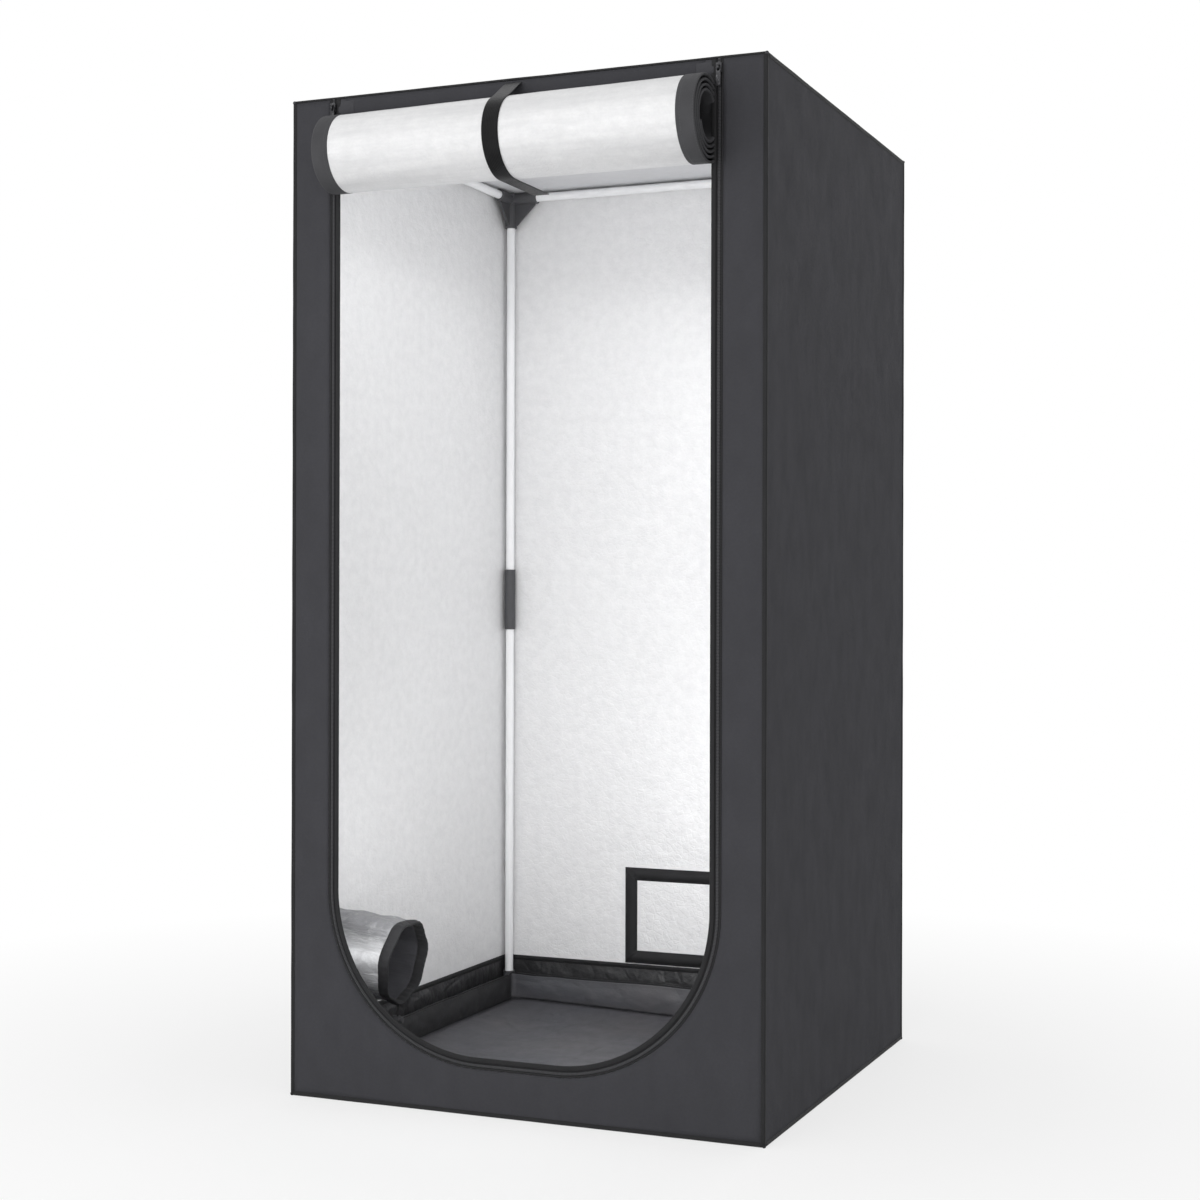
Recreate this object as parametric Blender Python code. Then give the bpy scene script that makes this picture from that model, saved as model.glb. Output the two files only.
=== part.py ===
# Indoor grow tent: a steel tube frame inside a sewn cover, with its door rolled up.
# Metres, +Z up. The origin is the centre of the floor's underside, and the door faces -Y.

import math

import bmesh
import bpy
from mathutils import Matrix, Vector

# Cover
tent_width = 0.800
tent_depth = 0.800
tent_height = 1.600
cloth = 0.002
seam_gap = 0.0003
cut_overrun = 0.004
weld_distance = 0.000002

# Frame tubes and their corner connectors
pole_diameter = 0.016
pole_wall = 0.001
pole_sides = 16
fit_clearance = 0.0003
socket_wall = 0.0032
arm_length = 0.057
arm_stop = 0.022
corner_margin = 0.0006
corner_bevel = 0.003
web_thickness = 0.004
web_setback = 0.005
web_lip = 0.002

# Sleeves that join the two halves of an upright
sleeve_length = 0.117
sleeve_wall = 0.0022
sleeve_stop_height = 0.003

# Hanging bars with a hooked cap at each end
bar_diameter = 0.016
bar_wall = 0.001
bar_spacing = 0.266
hook_wall = 0.0026
hook_width = 0.018
hook_lip = 0.004
cap_wall = 0.0022
cap_length = 0.032
cap_end_wall = 0.003
hook_segments = 10

# Floor tub, its black upstand and the removable spill tray
skirt_height = 0.100
sill_drop = 0.010
sill_width = 0.400
tray_clearance = 0.001
tray_height = 0.070

# Door opening and the zip around it
stile_width = 0.068
zip_width = 0.012
zip_thickness = 0.0024
opening_bottom = 0.084
opening_radius = 0.255
opening_segments = 12

# Rolled door
door_side_gap = 0.0013
door_cloth = 0.002
door_edge_width = 0.029
door_edge_cloth = 0.0045
header_below_pole = 0.0118
header_slant = 0.021
header_slope = math.radians(51.5)
roll_radius = 0.069
roll_pitch = 0.0075
roll_turns = 4.6
roll_steps = 20

# Strap that holds the roll
strap_width = 0.027
strap_thickness = 0.0015
strap_lead = 0.001
strap_tail_inside = 0.102
strap_steps = 20
strap_trials = 6

# Zip sliders and their pull tabs
slider_width = 0.009
slider_length = 0.016
slider_thickness = 0.003
slider_corner = 0.002
slider_park = 0.006
bridge_width = 0.003
bridge_bore = 0.0025
bridge_thickness = 0.0016
bridge_stand = 0.0015
bridge_segments = 8
pull_width = 0.007
pull_length = 0.028
pull_thickness = 0.0012
pull_bar = 0.0018
pull_side_clearance = 0.0006
pull_reach_clearance = 0.001

# Duct socks
sock_radius = 0.072
sock_length = 0.129
sock_cloth = 0.002
sock_droop = 0.008
sock_taper = 0.005
sock_fold = 0.0018
sock_folds = 7
sock_sides = 28
sock_rings = 8
rim_width = 0.018
rim_extra = 0.0012
intake_post_clearance = 0.019
intake_skirt_clearance = 0.042
exhaust_post_clearance = 0.101
exhaust_top_clearance = 0.153

# Drawstring of the lower sock and its cord lock
string_diameter = 0.0025
string_spread = 0.002
string_steps = 3
lock_drop = 0.026
lock_wall = 0.002
lock_length = 0.015
lock_shift = 0.0025
lock_slot_margin = 0.0004
button_wall = 0.0011
button_running_gap = 0.0003
button_length = 0.0135
button_travel = 0.003
lock_end_wall = 0.0025
lock_sides = 20

# Rear vent window
vent_half_width = 0.142
vent_border = 0.0245
vent_skirt_gap = 0.002
vent_height = 0.1835
vent_mesh_thickness = 0.001
flap_thickness = 0.002

# Places that follow from the sizes above
half_width = tent_width / 2
half_depth = tent_depth / 2
wall_low = cloth + seam_gap
wall_high = tent_height - cloth - seam_gap
pole_radius = pole_diameter / 2
bore_radius = pole_radius + fit_clearance
socket_radius = bore_radius + socket_wall
corner_half = socket_radius + corner_margin
frame_x = half_width - 2 * (cloth + seam_gap) - corner_half
frame_y = half_depth - 2 * (cloth + seam_gap) - corner_half
frame_low = cloth + seam_gap + corner_half
frame_high = tent_height - cloth - seam_gap - corner_half
frame_middle = (frame_low + frame_high) / 2
zip_half_span = half_width - stile_width
zip_inner_half = zip_half_span - zip_width
zip_centre = zip_half_span - zip_width / 2
arc_centre_z = opening_bottom + opening_radius
sill_height = opening_bottom - sill_drop
header_y = -half_depth + cloth / 2
header_low = frame_high - header_below_pole
roll_path_radius = roll_radius - door_cloth / 2
roll_y = header_y + header_slant * math.sin(header_slope) - roll_path_radius * math.cos(header_slope)
roll_z = header_low - header_slant * math.cos(header_slope) - roll_path_radius * math.sin(header_slope)
door_half = zip_inner_half - door_side_gap
door_seam = Vector((0, -half_depth, wall_high))


def clear_scene():
    for item in list(bpy.data.objects):
        bpy.data.objects.remove(item, do_unlink=True)


def make_material(name, colour, roughness, metallic):
    material = bpy.data.materials.new(name)
    material.use_nodes = True
    shader = material.node_tree.nodes["Principled BSDF"]
    shader.inputs["Base Color"].default_value = (*colour, 1)
    shader.inputs["Roughness"].default_value = roughness
    shader.inputs["Metallic"].default_value = metallic
    material.diffuse_color = (*colour, 1)
    return material


# Colour, roughness and metallic value of each kind of stuff
looks = {
    "cover": ((0.060, 0.060, 0.066), 0.80, 0.0),
    "black cloth": ((0.026, 0.026, 0.028), 0.75, 0.0),
    "lining": ((0.80, 0.80, 0.81), 0.35, 0.6),
    "steel": ((0.90, 0.91, 0.92), 0.35, 0.0),
    "plastic": ((0.035, 0.035, 0.038), 0.50, 0.0),
    "webbing": ((0.030, 0.030, 0.032), 0.70, 0.0),
    "zip metal": ((0.10, 0.10, 0.11), 0.35, 1.0),
    "tray": ((0.090, 0.092, 0.105), 0.60, 0.0),
    "net": ((0.020, 0.020, 0.022), 0.80, 0.0),
}


def make_object(name, mesh, look, location=(0, 0, 0), rotation=(0, 0, 0), parent=None):
    item = bpy.data.objects.new(name, mesh)
    bpy.context.collection.objects.link(item)
    colour, roughness, metallic = looks[look]
    if not item.material_slots:
        item.data.materials.append(None)
    item.material_slots[0].link = "OBJECT"
    item.material_slots[0].material = make_material(name, colour, roughness, metallic)
    item.location = location
    item.rotation_euler = rotation
    if parent:
        item.parent = parent
    return item


def make_empty(name, location, parent=None):
    empty = bpy.data.objects.new(name, None)
    bpy.context.collection.objects.link(empty)
    empty.location = location
    if parent:
        empty.parent = parent
    return empty


def finish_mesh(name, solid, smooth_angle=None):
    bmesh.ops.recalc_face_normals(solid, faces=solid.faces)
    mesh = bpy.data.meshes.new(name)
    solid.to_mesh(mesh)
    solid.free()
    if smooth_angle:
        mesh.shade_smooth()
        mesh.set_sharp_from_angle(angle=smooth_angle)
    return mesh


smooth_round = math.radians(40)


def box_mesh(name, low, high):
    solid = bmesh.new()
    bmesh.ops.create_cube(solid, size=1)
    size = Vector(high) - Vector(low)
    bmesh.ops.scale(solid, vec=size, verts=solid.verts)
    bmesh.ops.translate(solid, vec=(Vector(low) + Vector(high)) / 2, verts=solid.verts)
    return finish_mesh(name, solid)


def prism_mesh(name, outline, step, smooth_angle=None):
    # A flat outline of 3-D points, extruded by one step.
    solid = bmesh.new()
    face = solid.faces.new([solid.verts.new(point) for point in outline])
    moved = bmesh.ops.extrude_face_region(solid, geom=[face])["geom"]
    corners = [item for item in moved if isinstance(item, bmesh.types.BMVert)]
    bmesh.ops.translate(solid, vec=step, verts=corners)
    return finish_mesh(name, solid, smooth_angle)


def ring_mesh(name, rings, closed, smooth_angle=smooth_round):
    # Rings of points joined in turn. A closed one joins last to first, an open one gets end faces.
    solid = bmesh.new()
    rows = [[solid.verts.new(point) for point in ring] for ring in rings]
    pairs = list(zip(rows, rows[1:]))
    if closed:
        pairs.append((rows[-1], rows[0]))
    else:
        solid.faces.new(rows[0])
        solid.faces.new(rows[-1])
    for first, second in pairs:
        for index in range(len(first)):
            after = (index + 1) % len(first)
            solid.faces.new((first[index], first[after], second[after], second[index]))
    return finish_mesh(name, solid, smooth_angle)


def turned_mesh(name, profile, sides):
    # A closed profile of radius and height, turned about Z.
    rings = []
    for radius, height in profile:
        turns = [math.tau * index / sides for index in range(sides)]
        rings.append([(radius * math.cos(turn), radius * math.sin(turn), height) for turn in turns])
    return ring_mesh(name, rings, closed=True)


def tube_mesh(name, length, radius, wall, sides):
    inner = radius - wall
    profile = [(radius, 0), (radius, length), (inner, length), (inner, 0)]
    return turned_mesh(name, profile, sides)


def rod_mesh(name, low, high, radius, sides):
    rings = []
    for height in (low, high):
        turns = [math.tau * index / sides for index in range(sides)]
        rings.append([(radius * math.cos(turn), radius * math.sin(turn), height) for turn in turns])
    return ring_mesh(name, rings, closed=False)


def nested_mesh(name, half_x, half_y, profile):
    # A rectangular tray shape from its profile of inset and height, with both ends closed.
    rings = []
    for inset, height in profile:
        x = half_x - inset
        y = half_y - inset
        rings.append([(-x, -y, height), (x, -y, height), (x, y, height), (-x, y, height)])
    return ring_mesh(name, rings, closed=False, smooth_angle=None)


def ribbon_mesh(name, path, thickness, low_x, high_x):
    # A strip of cloth: a path of (y, z) points with a thickness, as wide as from low_x to high_x.
    rings = []
    for index, point in enumerate(path):
        before = path[max(index - 1, 0)]
        after = path[min(index + 1, len(path) - 1)]
        along = (after - before).normalized()
        side = Vector((-along.y, along.x)) * thickness / 2
        front = point + side
        back = point - side
        rings.append([(low_x, *front), (high_x, *front), (high_x, *back), (low_x, *back)])
    return ring_mesh(name, rings, closed=False)


def cut(item, cutter_mesh, matrix=Matrix(), operation="DIFFERENCE"):
    cutter = bpy.data.objects.new(item.name + " cutter", cutter_mesh)
    bpy.context.collection.objects.link(cutter)
    cutter.matrix_world = matrix
    cutter.hide_render = True
    cutter.display_type = "WIRE"
    modifier = item.modifiers.new("Boolean", "BOOLEAN")
    modifier.operation = operation
    modifier.solver = "EXACT"
    modifier.object = cutter
    return cutter


def combined_mesh(name, base, additions, cutters):
    # The base mesh with the additions joined to it and the cutters taken away.
    item = bpy.data.objects.new(name + " stock", base)
    bpy.context.collection.objects.link(item)
    helpers = [cut(item, mesh, matrix, "UNION") for mesh, matrix in additions]
    helpers += [cut(item, mesh, matrix) for mesh, matrix in cutters]
    bpy.context.view_layer.update()
    mesh = bpy.data.meshes.new_from_object(item.evaluated_get(bpy.context.evaluated_depsgraph_get()))
    for helper in [item, *helpers]:
        bpy.data.objects.remove(helper, do_unlink=True)
    solid = bmesh.new()
    solid.from_mesh(mesh)
    bmesh.ops.remove_doubles(solid, verts=solid.verts, dist=weld_distance)
    solid.to_mesh(mesh)
    solid.free()
    mesh.name = name
    mesh.materials.clear()
    mesh.shade_smooth()
    mesh.set_sharp_from_angle(angle=smooth_round)
    return mesh


# A turn that lays a mesh's Z axis along world X or Y
along_x = Matrix.Rotation(math.pi / 2, 4, "Y")
along_y = Matrix.Rotation(-math.pi / 2, 4, "X")


def connector_mesh():
    # Arms along +X, +Y and +Z, with a gusset web from the upright arm to each level one.
    solid = bmesh.new()
    bmesh.ops.create_cube(solid, size=2 * corner_half)
    bmesh.ops.bevel(
        solid, geom=solid.edges, offset=corner_bevel, segments=1, affect="EDGES", profile=0.5
    )
    block = finish_mesh("corner block", solid)
    arm = rod_mesh("arm", 0, arm_length, socket_radius, pole_sides)
    bore = rod_mesh("arm bore", arm_stop - seam_gap, arm_length + cut_overrun, bore_radius, pole_sides)
    reach = arm_length - web_setback
    lip = socket_radius + web_lip
    web_outline = [(0, 0, 0), (reach, 0, 0), (reach, 0, lip), (lip, 0, reach), (0, 0, reach)]
    web = prism_mesh("web", web_outline, (0, web_thickness, 0))
    web_x = Matrix.Translation((0, -web_thickness / 2, 0))
    web_y = Matrix.Rotation(math.pi / 2, 4, "Z") @ web_x
    ways = (along_x, along_y, Matrix())
    additions = [(arm, way) for way in ways] + [(web, web_x), (web, web_y)]
    return combined_mesh("connector", block, additions, [(bore, way) for way in ways])


def add_frame():
    connector = connector_mesh()
    # A quarter turn carries the arms from one corner of the square plan to the next.
    corners = {
        ("front", "left"): (-frame_x, -frame_y, 0),
        ("front", "right"): (frame_x, -frame_y, 1),
        ("back", "right"): (frame_x, frame_y, 2),
        ("back", "left"): (-frame_x, frame_y, 3),
    }
    for (end, side), (x, y, quarter) in corners.items():
        turn = quarter * math.pi / 2
        low_place = (x, y, frame_low)
        high_place = (x, y, frame_high)
        make_object(f"connector_{end}_{side}_bottom", connector, "plastic", low_place, (0, 0, turn))
        over = (math.pi, 0, turn + math.pi / 2)
        make_object(f"connector_{end}_{side}_top", connector, "plastic", high_place, over)
    add_level_poles()
    add_uprights(corners)


def add_level_poles():
    width_length = 2 * (frame_x - arm_stop)
    depth_length = 2 * (frame_y - arm_stop)
    width_pole = tube_mesh("width pole", width_length, pole_radius, pole_wall, pole_sides)
    depth_pole = tube_mesh("depth pole", depth_length, pole_radius, pole_wall, pole_sides)
    for level, height in (("bottom", frame_low), ("top", frame_high)):
        for side, x in (("left", -frame_x), ("right", frame_x)):
            place = (x, -frame_y + arm_stop, height)
            make_object(f"pole_{level}_{side}", depth_pole, "steel", place, (-math.pi / 2, 0, 0))
        for end, y in (("front", -frame_y), ("back", frame_y)):
            place = (-frame_x + arm_stop, y, height)
            make_object(f"pole_{level}_{end}", width_pole, "steel", place, (0, math.pi / 2, 0))


def add_uprights(corners):
    half_length = frame_middle - sleeve_stop_height / 2 - seam_gap - frame_low - arm_stop
    upright = tube_mesh("upright", half_length, pole_radius, pole_wall, pole_sides)
    outer = bore_radius + sleeve_wall
    stop = pole_radius - pole_wall
    reach = sleeve_length / 2
    ledge = sleeve_stop_height / 2
    profile = [
        (outer, -reach), (outer, reach), (bore_radius, reach), (bore_radius, ledge),
        (stop, ledge), (stop, -ledge), (bore_radius, -ledge), (bore_radius, -reach),
    ]
    sleeve = turned_mesh("sleeve", profile, pole_sides)
    for (end, side), (x, y, _) in corners.items():
        low_place = (x, y, frame_low + arm_stop)
        high_place = (x, y, frame_high - arm_stop - half_length)
        make_object(f"upright_{end}_{side}_lower", upright, "steel", low_place)
        make_object(f"upright_{end}_{side}_upper", upright, "steel", high_place)
        make_object(f"sleeve_{end}_{side}", sleeve, "plastic", (x, y, frame_middle))


def hook_mesh():
    # A saddle over a pole along Y at the origin, with a cap for a bar along +X.
    saddle_radius = bore_radius + hook_wall
    outline = [(-bore_radius, 0, -hook_lip), (-saddle_radius, 0, -hook_lip)]
    turns = [math.pi * (1 - index / hook_segments) for index in range(hook_segments + 1)]
    outline += [(saddle_radius * math.cos(turn), 0, saddle_radius * math.sin(turn)) for turn in turns]
    back = [(bore_radius * math.cos(turn), 0, bore_radius * math.sin(turn)) for turn in turns]
    outline += back[::-1]
    saddle = prism_mesh("saddle", outline, (0, hook_width, 0))
    cap_radius = bar_diameter / 2 + fit_clearance + cap_wall
    cap_start = bore_radius + hook_wall / 2
    cap = rod_mesh("cap", cap_start, cap_start + cap_length, cap_radius, pole_sides)
    bore_start = cap_start + cap_end_wall
    bore_end = cap_start + cap_length + cut_overrun
    bore = rod_mesh("cap bore", bore_start, bore_end, bar_diameter / 2 + fit_clearance, pole_sides)
    saddle.transform(Matrix.Translation((0, -hook_width / 2, 0)))
    return combined_mesh("hook", saddle, [(cap, along_x)], [(bore, along_x)])


def add_hanging_bars():
    hook = hook_mesh()
    inset = bore_radius + hook_wall / 2 + cap_end_wall + seam_gap
    length = 2 * (frame_x - inset)
    tube = tube_mesh("hanging bar", length, bar_diameter / 2, bar_wall, pole_sides)
    for end, y in (("front", -bar_spacing / 2), ("rear", bar_spacing / 2)):
        carrier = make_empty(f"bar {end} slide", (0, y, frame_high))
        bar_place = (-length / 2, 0, 0)
        make_object(f"hanging_bar_{end}", tube, "steel", bar_place, (0, math.pi / 2, 0), carrier)
        left = (-frame_x, 0, 0)
        right = (frame_x, 0, 0)
        make_object(f"bar_hook_{end}_left", hook, "plastic", left, (0, 0, 0), carrier)
        make_object(f"bar_hook_{end}_right", hook, "plastic", right, (0, 0, math.pi), carrier)


def add_floor():
    outer = cloth + seam_gap
    inner = outer + cloth
    profile = [
        (0, 0), (0, cloth), (outer, cloth), (outer, skirt_height),
        (inner, skirt_height), (inner, cloth),
    ]
    tub = make_object("floor_tub", nested_mesh("floor tub", half_width, half_depth, profile), "black cloth")
    notch_low = (-sill_width / 2, -half_depth - cut_overrun, sill_height)
    notch_high = (sill_width / 2, -half_depth + inner + cut_overrun, skirt_height + cut_overrun)
    cut(tub, box_mesh("sill notch", notch_low, notch_high))
    tray_low = cloth + seam_gap
    tray_profile = [
        (0, tray_low), (0, tray_height), (cloth, tray_height), (cloth, tray_low + cloth),
    ]
    tray_x = frame_x - corner_half - tray_clearance
    tray_y = frame_y - corner_half - tray_clearance
    make_object("spill_tray", nested_mesh("spill tray", tray_x, tray_y, tray_profile), "tray")


def opening_path(half_span, radius):
    # The door opening's outline from its top left corner, round the sill, to its top right one.
    centre_x = half_span - radius
    points = [(-half_span, wall_high)]
    for index in range(opening_segments + 1):
        turn = math.pi + math.pi / 2 * index / opening_segments
        points.append((-centre_x + radius * math.cos(turn), arc_centre_z + radius * math.sin(turn)))
    for index in range(opening_segments + 1):
        turn = 3 * math.pi / 2 + math.pi / 2 * index / opening_segments
        points.append((centre_x + radius * math.cos(turn), arc_centre_z + radius * math.sin(turn)))
    points.append((half_span, wall_high))
    return points


def add_front():
    side = half_width - cloth - seam_gap
    edge = opening_path(zip_half_span + seam_gap, opening_radius + zip_width + seam_gap)
    rectangle = [(side, wall_high), (side, wall_low), (-side, wall_low), (-side, wall_high)]
    outline = [(x, -half_depth, z) for x, z in edge + rectangle]
    make_object("front_panel", prism_mesh("front panel", outline, (0, cloth, 0)), "cover")
    inner = opening_path(zip_inner_half, opening_radius)
    outer = opening_path(zip_half_span, opening_radius + zip_width)
    back = -half_depth + cloth
    front = back - zip_thickness
    rings = []
    for (near_x, near_z), (far_x, far_z) in zip(inner, outer):
        ring = [(near_x, front, near_z), (near_x, back, near_z)]
        rings.append(ring + [(far_x, back, far_z), (far_x, front, far_z)])
    make_object("zip_tape", ring_mesh("zip tape", rings, closed=False), "black cloth")


# Duct socks run along their own Z axis, with their own Y axis upward.
def sock_ring(distance, extra):
    share = distance / sock_length
    lean = math.atan(2 * sock_droop * share / sock_length)
    drop = sock_droop * share**2
    ring = []
    for index in range(sock_sides):
        turn = math.tau * index / sock_sides
        fold = sock_fold * share**2 * math.sin(sock_folds * turn)
        radius = sock_radius - sock_taper * share + fold + extra
        up = radius * math.sin(turn)
        ring.append((radius * math.cos(turn), up * math.cos(lean) - drop, distance + up * math.sin(lean)))
    return ring


def sock_mesh(name, start, end, count, extra):
    places = [start + (end - start) * index / count for index in range(count + 1)]
    outside = [sock_ring(place, extra) for place in places]
    inside = [sock_ring(place, -sock_cloth - extra) for place in places]
    return ring_mesh(name, outside + inside[::-1], closed=True)


# Each port stands clear of the uprights beside it, and of the skirt below or the poles above.
intake_y = -frame_y + corner_half + intake_post_clearance + sock_radius
intake_z = skirt_height + intake_skirt_clearance + sock_radius
exhaust_x = frame_x - corner_half - exhaust_post_clearance - sock_radius
exhaust_z = frame_high - corner_half - exhaust_top_clearance - sock_radius

# Lays a sock's Z axis along world +X, or along world -Y, with its Y axis upward.
intake_frame = Matrix.Translation((-half_width, intake_y, intake_z)) @ Matrix(
    ((0, 0, 1, 0), (1, 0, 0, 0), (0, 1, 0, 0), (0, 0, 0, 1))
)
exhaust_frame = Matrix.Translation((exhaust_x, half_depth, exhaust_z)) @ Matrix(
    ((1, 0, 0, 0), (0, 0, -1, 0), (0, 1, 0, 0), (0, 0, 0, 1))
)


def add_socks():
    sleeve = sock_mesh("sock", 0, sock_length, sock_rings, 0)
    rim_start = sock_length + seam_gap
    rim = sock_mesh("sock rim", rim_start, rim_start + rim_width, 1, rim_extra)
    for name, frame in (("intake", intake_frame), ("exhaust", exhaust_frame)):
        for piece, mesh, look in (("sock", sleeve, "lining"), ("rim", rim, "black cloth")):
            item = make_object(f"{name}_{piece}", mesh, look)
            item.matrix_world = frame


def port_cutter(name):
    # The sock's own outline, a seam gap larger, so that its sides line up with the sock's.
    rings = []
    for height in (-cut_overrun, cloth + cut_overrun):
        turns = [math.tau * index / sock_sides for index in range(sock_sides)]
        radius = sock_radius + seam_gap
        rings.append([(radius * math.cos(turn), radius * math.sin(turn), height) for turn in turns])
    return ring_mesh(name, rings, closed=False)


vent_bottom = skirt_height + vent_skirt_gap
vent_top = vent_bottom + vent_height
vent_inner_half = vent_half_width - vent_border
vent_inner_low = vent_bottom + vent_border
vent_inner_high = vent_top - vent_border


def add_walls():
    for side, x in (("left", -half_width), ("right", half_width - cloth)):
        low = (x, -half_depth, wall_low)
        high = (x + cloth, half_depth, wall_high)
        wall = make_object(f"wall_{side}", box_mesh(f"wall {side}", low, high), "cover")
        if side == "left":
            cut(wall, port_cutter("intake port"), intake_frame)
    inner = half_width - cloth - seam_gap
    low = (-inner, half_depth - cloth, wall_low)
    high = (inner, half_depth, wall_high)
    back = make_object("wall_back", box_mesh("wall back", low, high), "cover")
    cut(back, port_cutter("exhaust port"), exhaust_frame)
    window_low = (-vent_inner_half, half_depth - cloth - cut_overrun, vent_inner_low)
    window_high = (vent_inner_half, half_depth + cut_overrun, vent_inner_high)
    cut(back, box_mesh("vent window", window_low, window_high))
    roof_low = (-half_width, -half_depth, tent_height - cloth)
    roof_high = (half_width, half_depth, tent_height)
    make_object("roof_panel", box_mesh("roof panel", roof_low, roof_high), "cover")


def add_vent():
    mesh_back = half_depth - (cloth - vent_mesh_thickness) / 2
    low = (-vent_inner_half + seam_gap, mesh_back - vent_mesh_thickness, vent_inner_low + seam_gap)
    high = (vent_inner_half - seam_gap, mesh_back, vent_inner_high - seam_gap)
    make_object("vent_mesh", box_mesh("vent mesh", low, high), "net")
    # The flap hangs from its top edge, on the side away from the wall.
    front = half_depth - cloth - seam_gap - flap_thickness
    hinge = make_empty("vent flap hinge", (0, front, vent_top))
    low = (-vent_half_width, 0, vent_bottom - vent_top)
    high = (vent_half_width, flap_thickness, 0)
    make_object("vent_flap", box_mesh("vent flap", low, high), "lining", parent=hinge)


# The door's path runs from the seam, down in front of the top pole, and round the roll's rear.
def roll_radius_at(turned):
    return roll_path_radius - roll_pitch * turned / math.tau


def roll_point(turned, outward=0):
    turn = header_slope - turned
    radius = roll_radius_at(turned) + outward
    return Vector((roll_y + radius * math.cos(turn), roll_z + radius * math.sin(turn)))


def door_path():
    path = [Vector((header_y, wall_high)), Vector((header_y, header_low))]
    steps = round(roll_turns * roll_steps)
    path += [roll_point(math.tau * index / roll_steps) for index in range(steps + 1)]
    return path


def least_roll_gap(path, thickness):
    # Points half a turn or more apart along the path are on different layers.
    apart = roll_steps // 2
    pairs = ((first, second) for first in range(len(path)) for second in range(first + apart, len(path)))
    return min((path[first] - path[second]).length for first, second in pairs) - thickness


def strap_path():
    outward = door_cloth / 2 + seam_gap + strap_thickness / 2
    start = Vector((-half_depth - seam_gap - strap_thickness / 2, wall_high - strap_lead))
    offset = start - Vector((roll_y, roll_z))
    # It meets the roll's front at a tangent, which is found step by step as the roll is a spiral.
    touch = math.pi
    for _ in range(strap_trials):
        radius = roll_radius_at(header_slope - touch + math.tau) + outward
        touch = offset.angle_signed(Vector((1, 0))) + math.acos(radius / offset.length)
    path = [start]
    for index in range(strap_steps + 1):
        turn = touch + (3 * math.pi / 2 - touch) * index / strap_steps
        path.append(roll_point(header_slope - turn + math.tau, outward))
    tail_end = -half_depth + strap_tail_inside
    path.append(Vector((tail_end, path[-1].y)))
    return path


def add_door():
    hinge = make_empty("door hinge", door_seam)
    cloth_half = door_half - door_edge_width - seam_gap
    path = door_path()
    print("least gap of the rolled door, mm:", round(least_roll_gap(path, door_edge_cloth) * 1000, 3))
    pieces = (
        ("door_roll", -cloth_half, cloth_half, door_cloth, "lining"),
        ("door_edge_left", -door_half, -door_half + door_edge_width, door_edge_cloth, "black cloth"),
        ("door_edge_right", door_half - door_edge_width, door_half, door_edge_cloth, "black cloth"),
        ("door_strap", -strap_width / 2, strap_width / 2, strap_thickness, "webbing"),
    )
    for name, low_x, high_x, thickness, look in pieces:
        route = strap_path() if name == "door_strap" else path
        mesh = ribbon_mesh(name, route, thickness, low_x, high_x)
        mesh.transform(Matrix.Translation(-door_seam))
        make_object(name, mesh, look, parent=hinge)


def rounded_outline(half_x, low_z, high_z, corner, segments=3):
    points = []
    centres = (
        (half_x - corner, low_z + corner), (half_x - corner, high_z - corner),
        (-half_x + corner, high_z - corner), (-half_x + corner, low_z + corner),
    )
    for quarter, (x, z) in enumerate(centres):
        for index in range(segments + 1):
            turn = math.pi / 2 * (quarter - 1 + index / segments)
            points.append((x + corner * math.cos(turn), 0, z + corner * math.sin(turn)))
    return points


def slider_mesh():
    # The plate's front face is at the origin, with the bridge on it towards -Y.
    half = slider_length / 2
    plate_outline = rounded_outline(slider_width / 2, -half, half, slider_corner)
    plate = prism_mesh("slider plate", plate_outline, (0, slider_thickness, 0))
    outer = bridge_bore + bridge_thickness
    turns = [math.pi * index / bridge_segments for index in range(bridge_segments + 1)]
    root = slider_thickness / 2
    arch = [(0, root, outer)]
    arch += [(0, -bridge_stand - outer * math.sin(turn), outer * math.cos(turn)) for turn in turns]
    arch += [(0, root, -outer), (0, root, -bridge_bore)]
    for turn in reversed(turns):
        arch.append((0, -bridge_stand - bridge_bore * math.sin(turn), bridge_bore * math.cos(turn)))
    arch.append((0, root, bridge_bore))
    bridge = prism_mesh("bridge", arch, (bridge_width, 0, 0))
    bridge_place = Matrix.Translation((-bridge_width / 2, 0, 0))
    return combined_mesh("zip slider", plate, [(bridge, bridge_place)], [])


def pull_mesh():
    # The bar that turns under the bridge is at the origin, and the tab hangs down.
    top = pull_bar / 2
    outline = rounded_outline(pull_width / 2, top - pull_length, top, pull_bar / 2)
    tab = prism_mesh("pull tab", outline, (0, pull_thickness, 0))
    tab.transform(Matrix.Translation((0, -pull_thickness / 2, 0)))
    slot_half = bridge_width / 2 + pull_side_clearance
    slot_depth = bridge_bore + bridge_thickness + pull_reach_clearance
    slot_low = (-slot_half, -cut_overrun, -slot_depth)
    slot_high = (slot_half, cut_overrun, -top)
    return combined_mesh("zip pull", tab, [], [(box_mesh("pull slot", slot_low, slot_high), Matrix())])


def add_zip_sliders():
    slider = slider_mesh()
    pull = pull_mesh()
    tape_front = -half_depth + cloth - zip_thickness
    plate_front = tape_front - seam_gap - slider_thickness
    height = wall_high - slider_park - slider_length / 2
    for side, x in (("left", -zip_centre), ("right", zip_centre)):
        place = make_empty(f"zip {side} travel", (x, plate_front, height))
        make_object(f"zip_slider_{side}", slider, "zip metal", parent=place)
        make_object(f"zip_pull_{side}", pull, "zip metal", (0, -bridge_stand, 0), parent=place)


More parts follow.
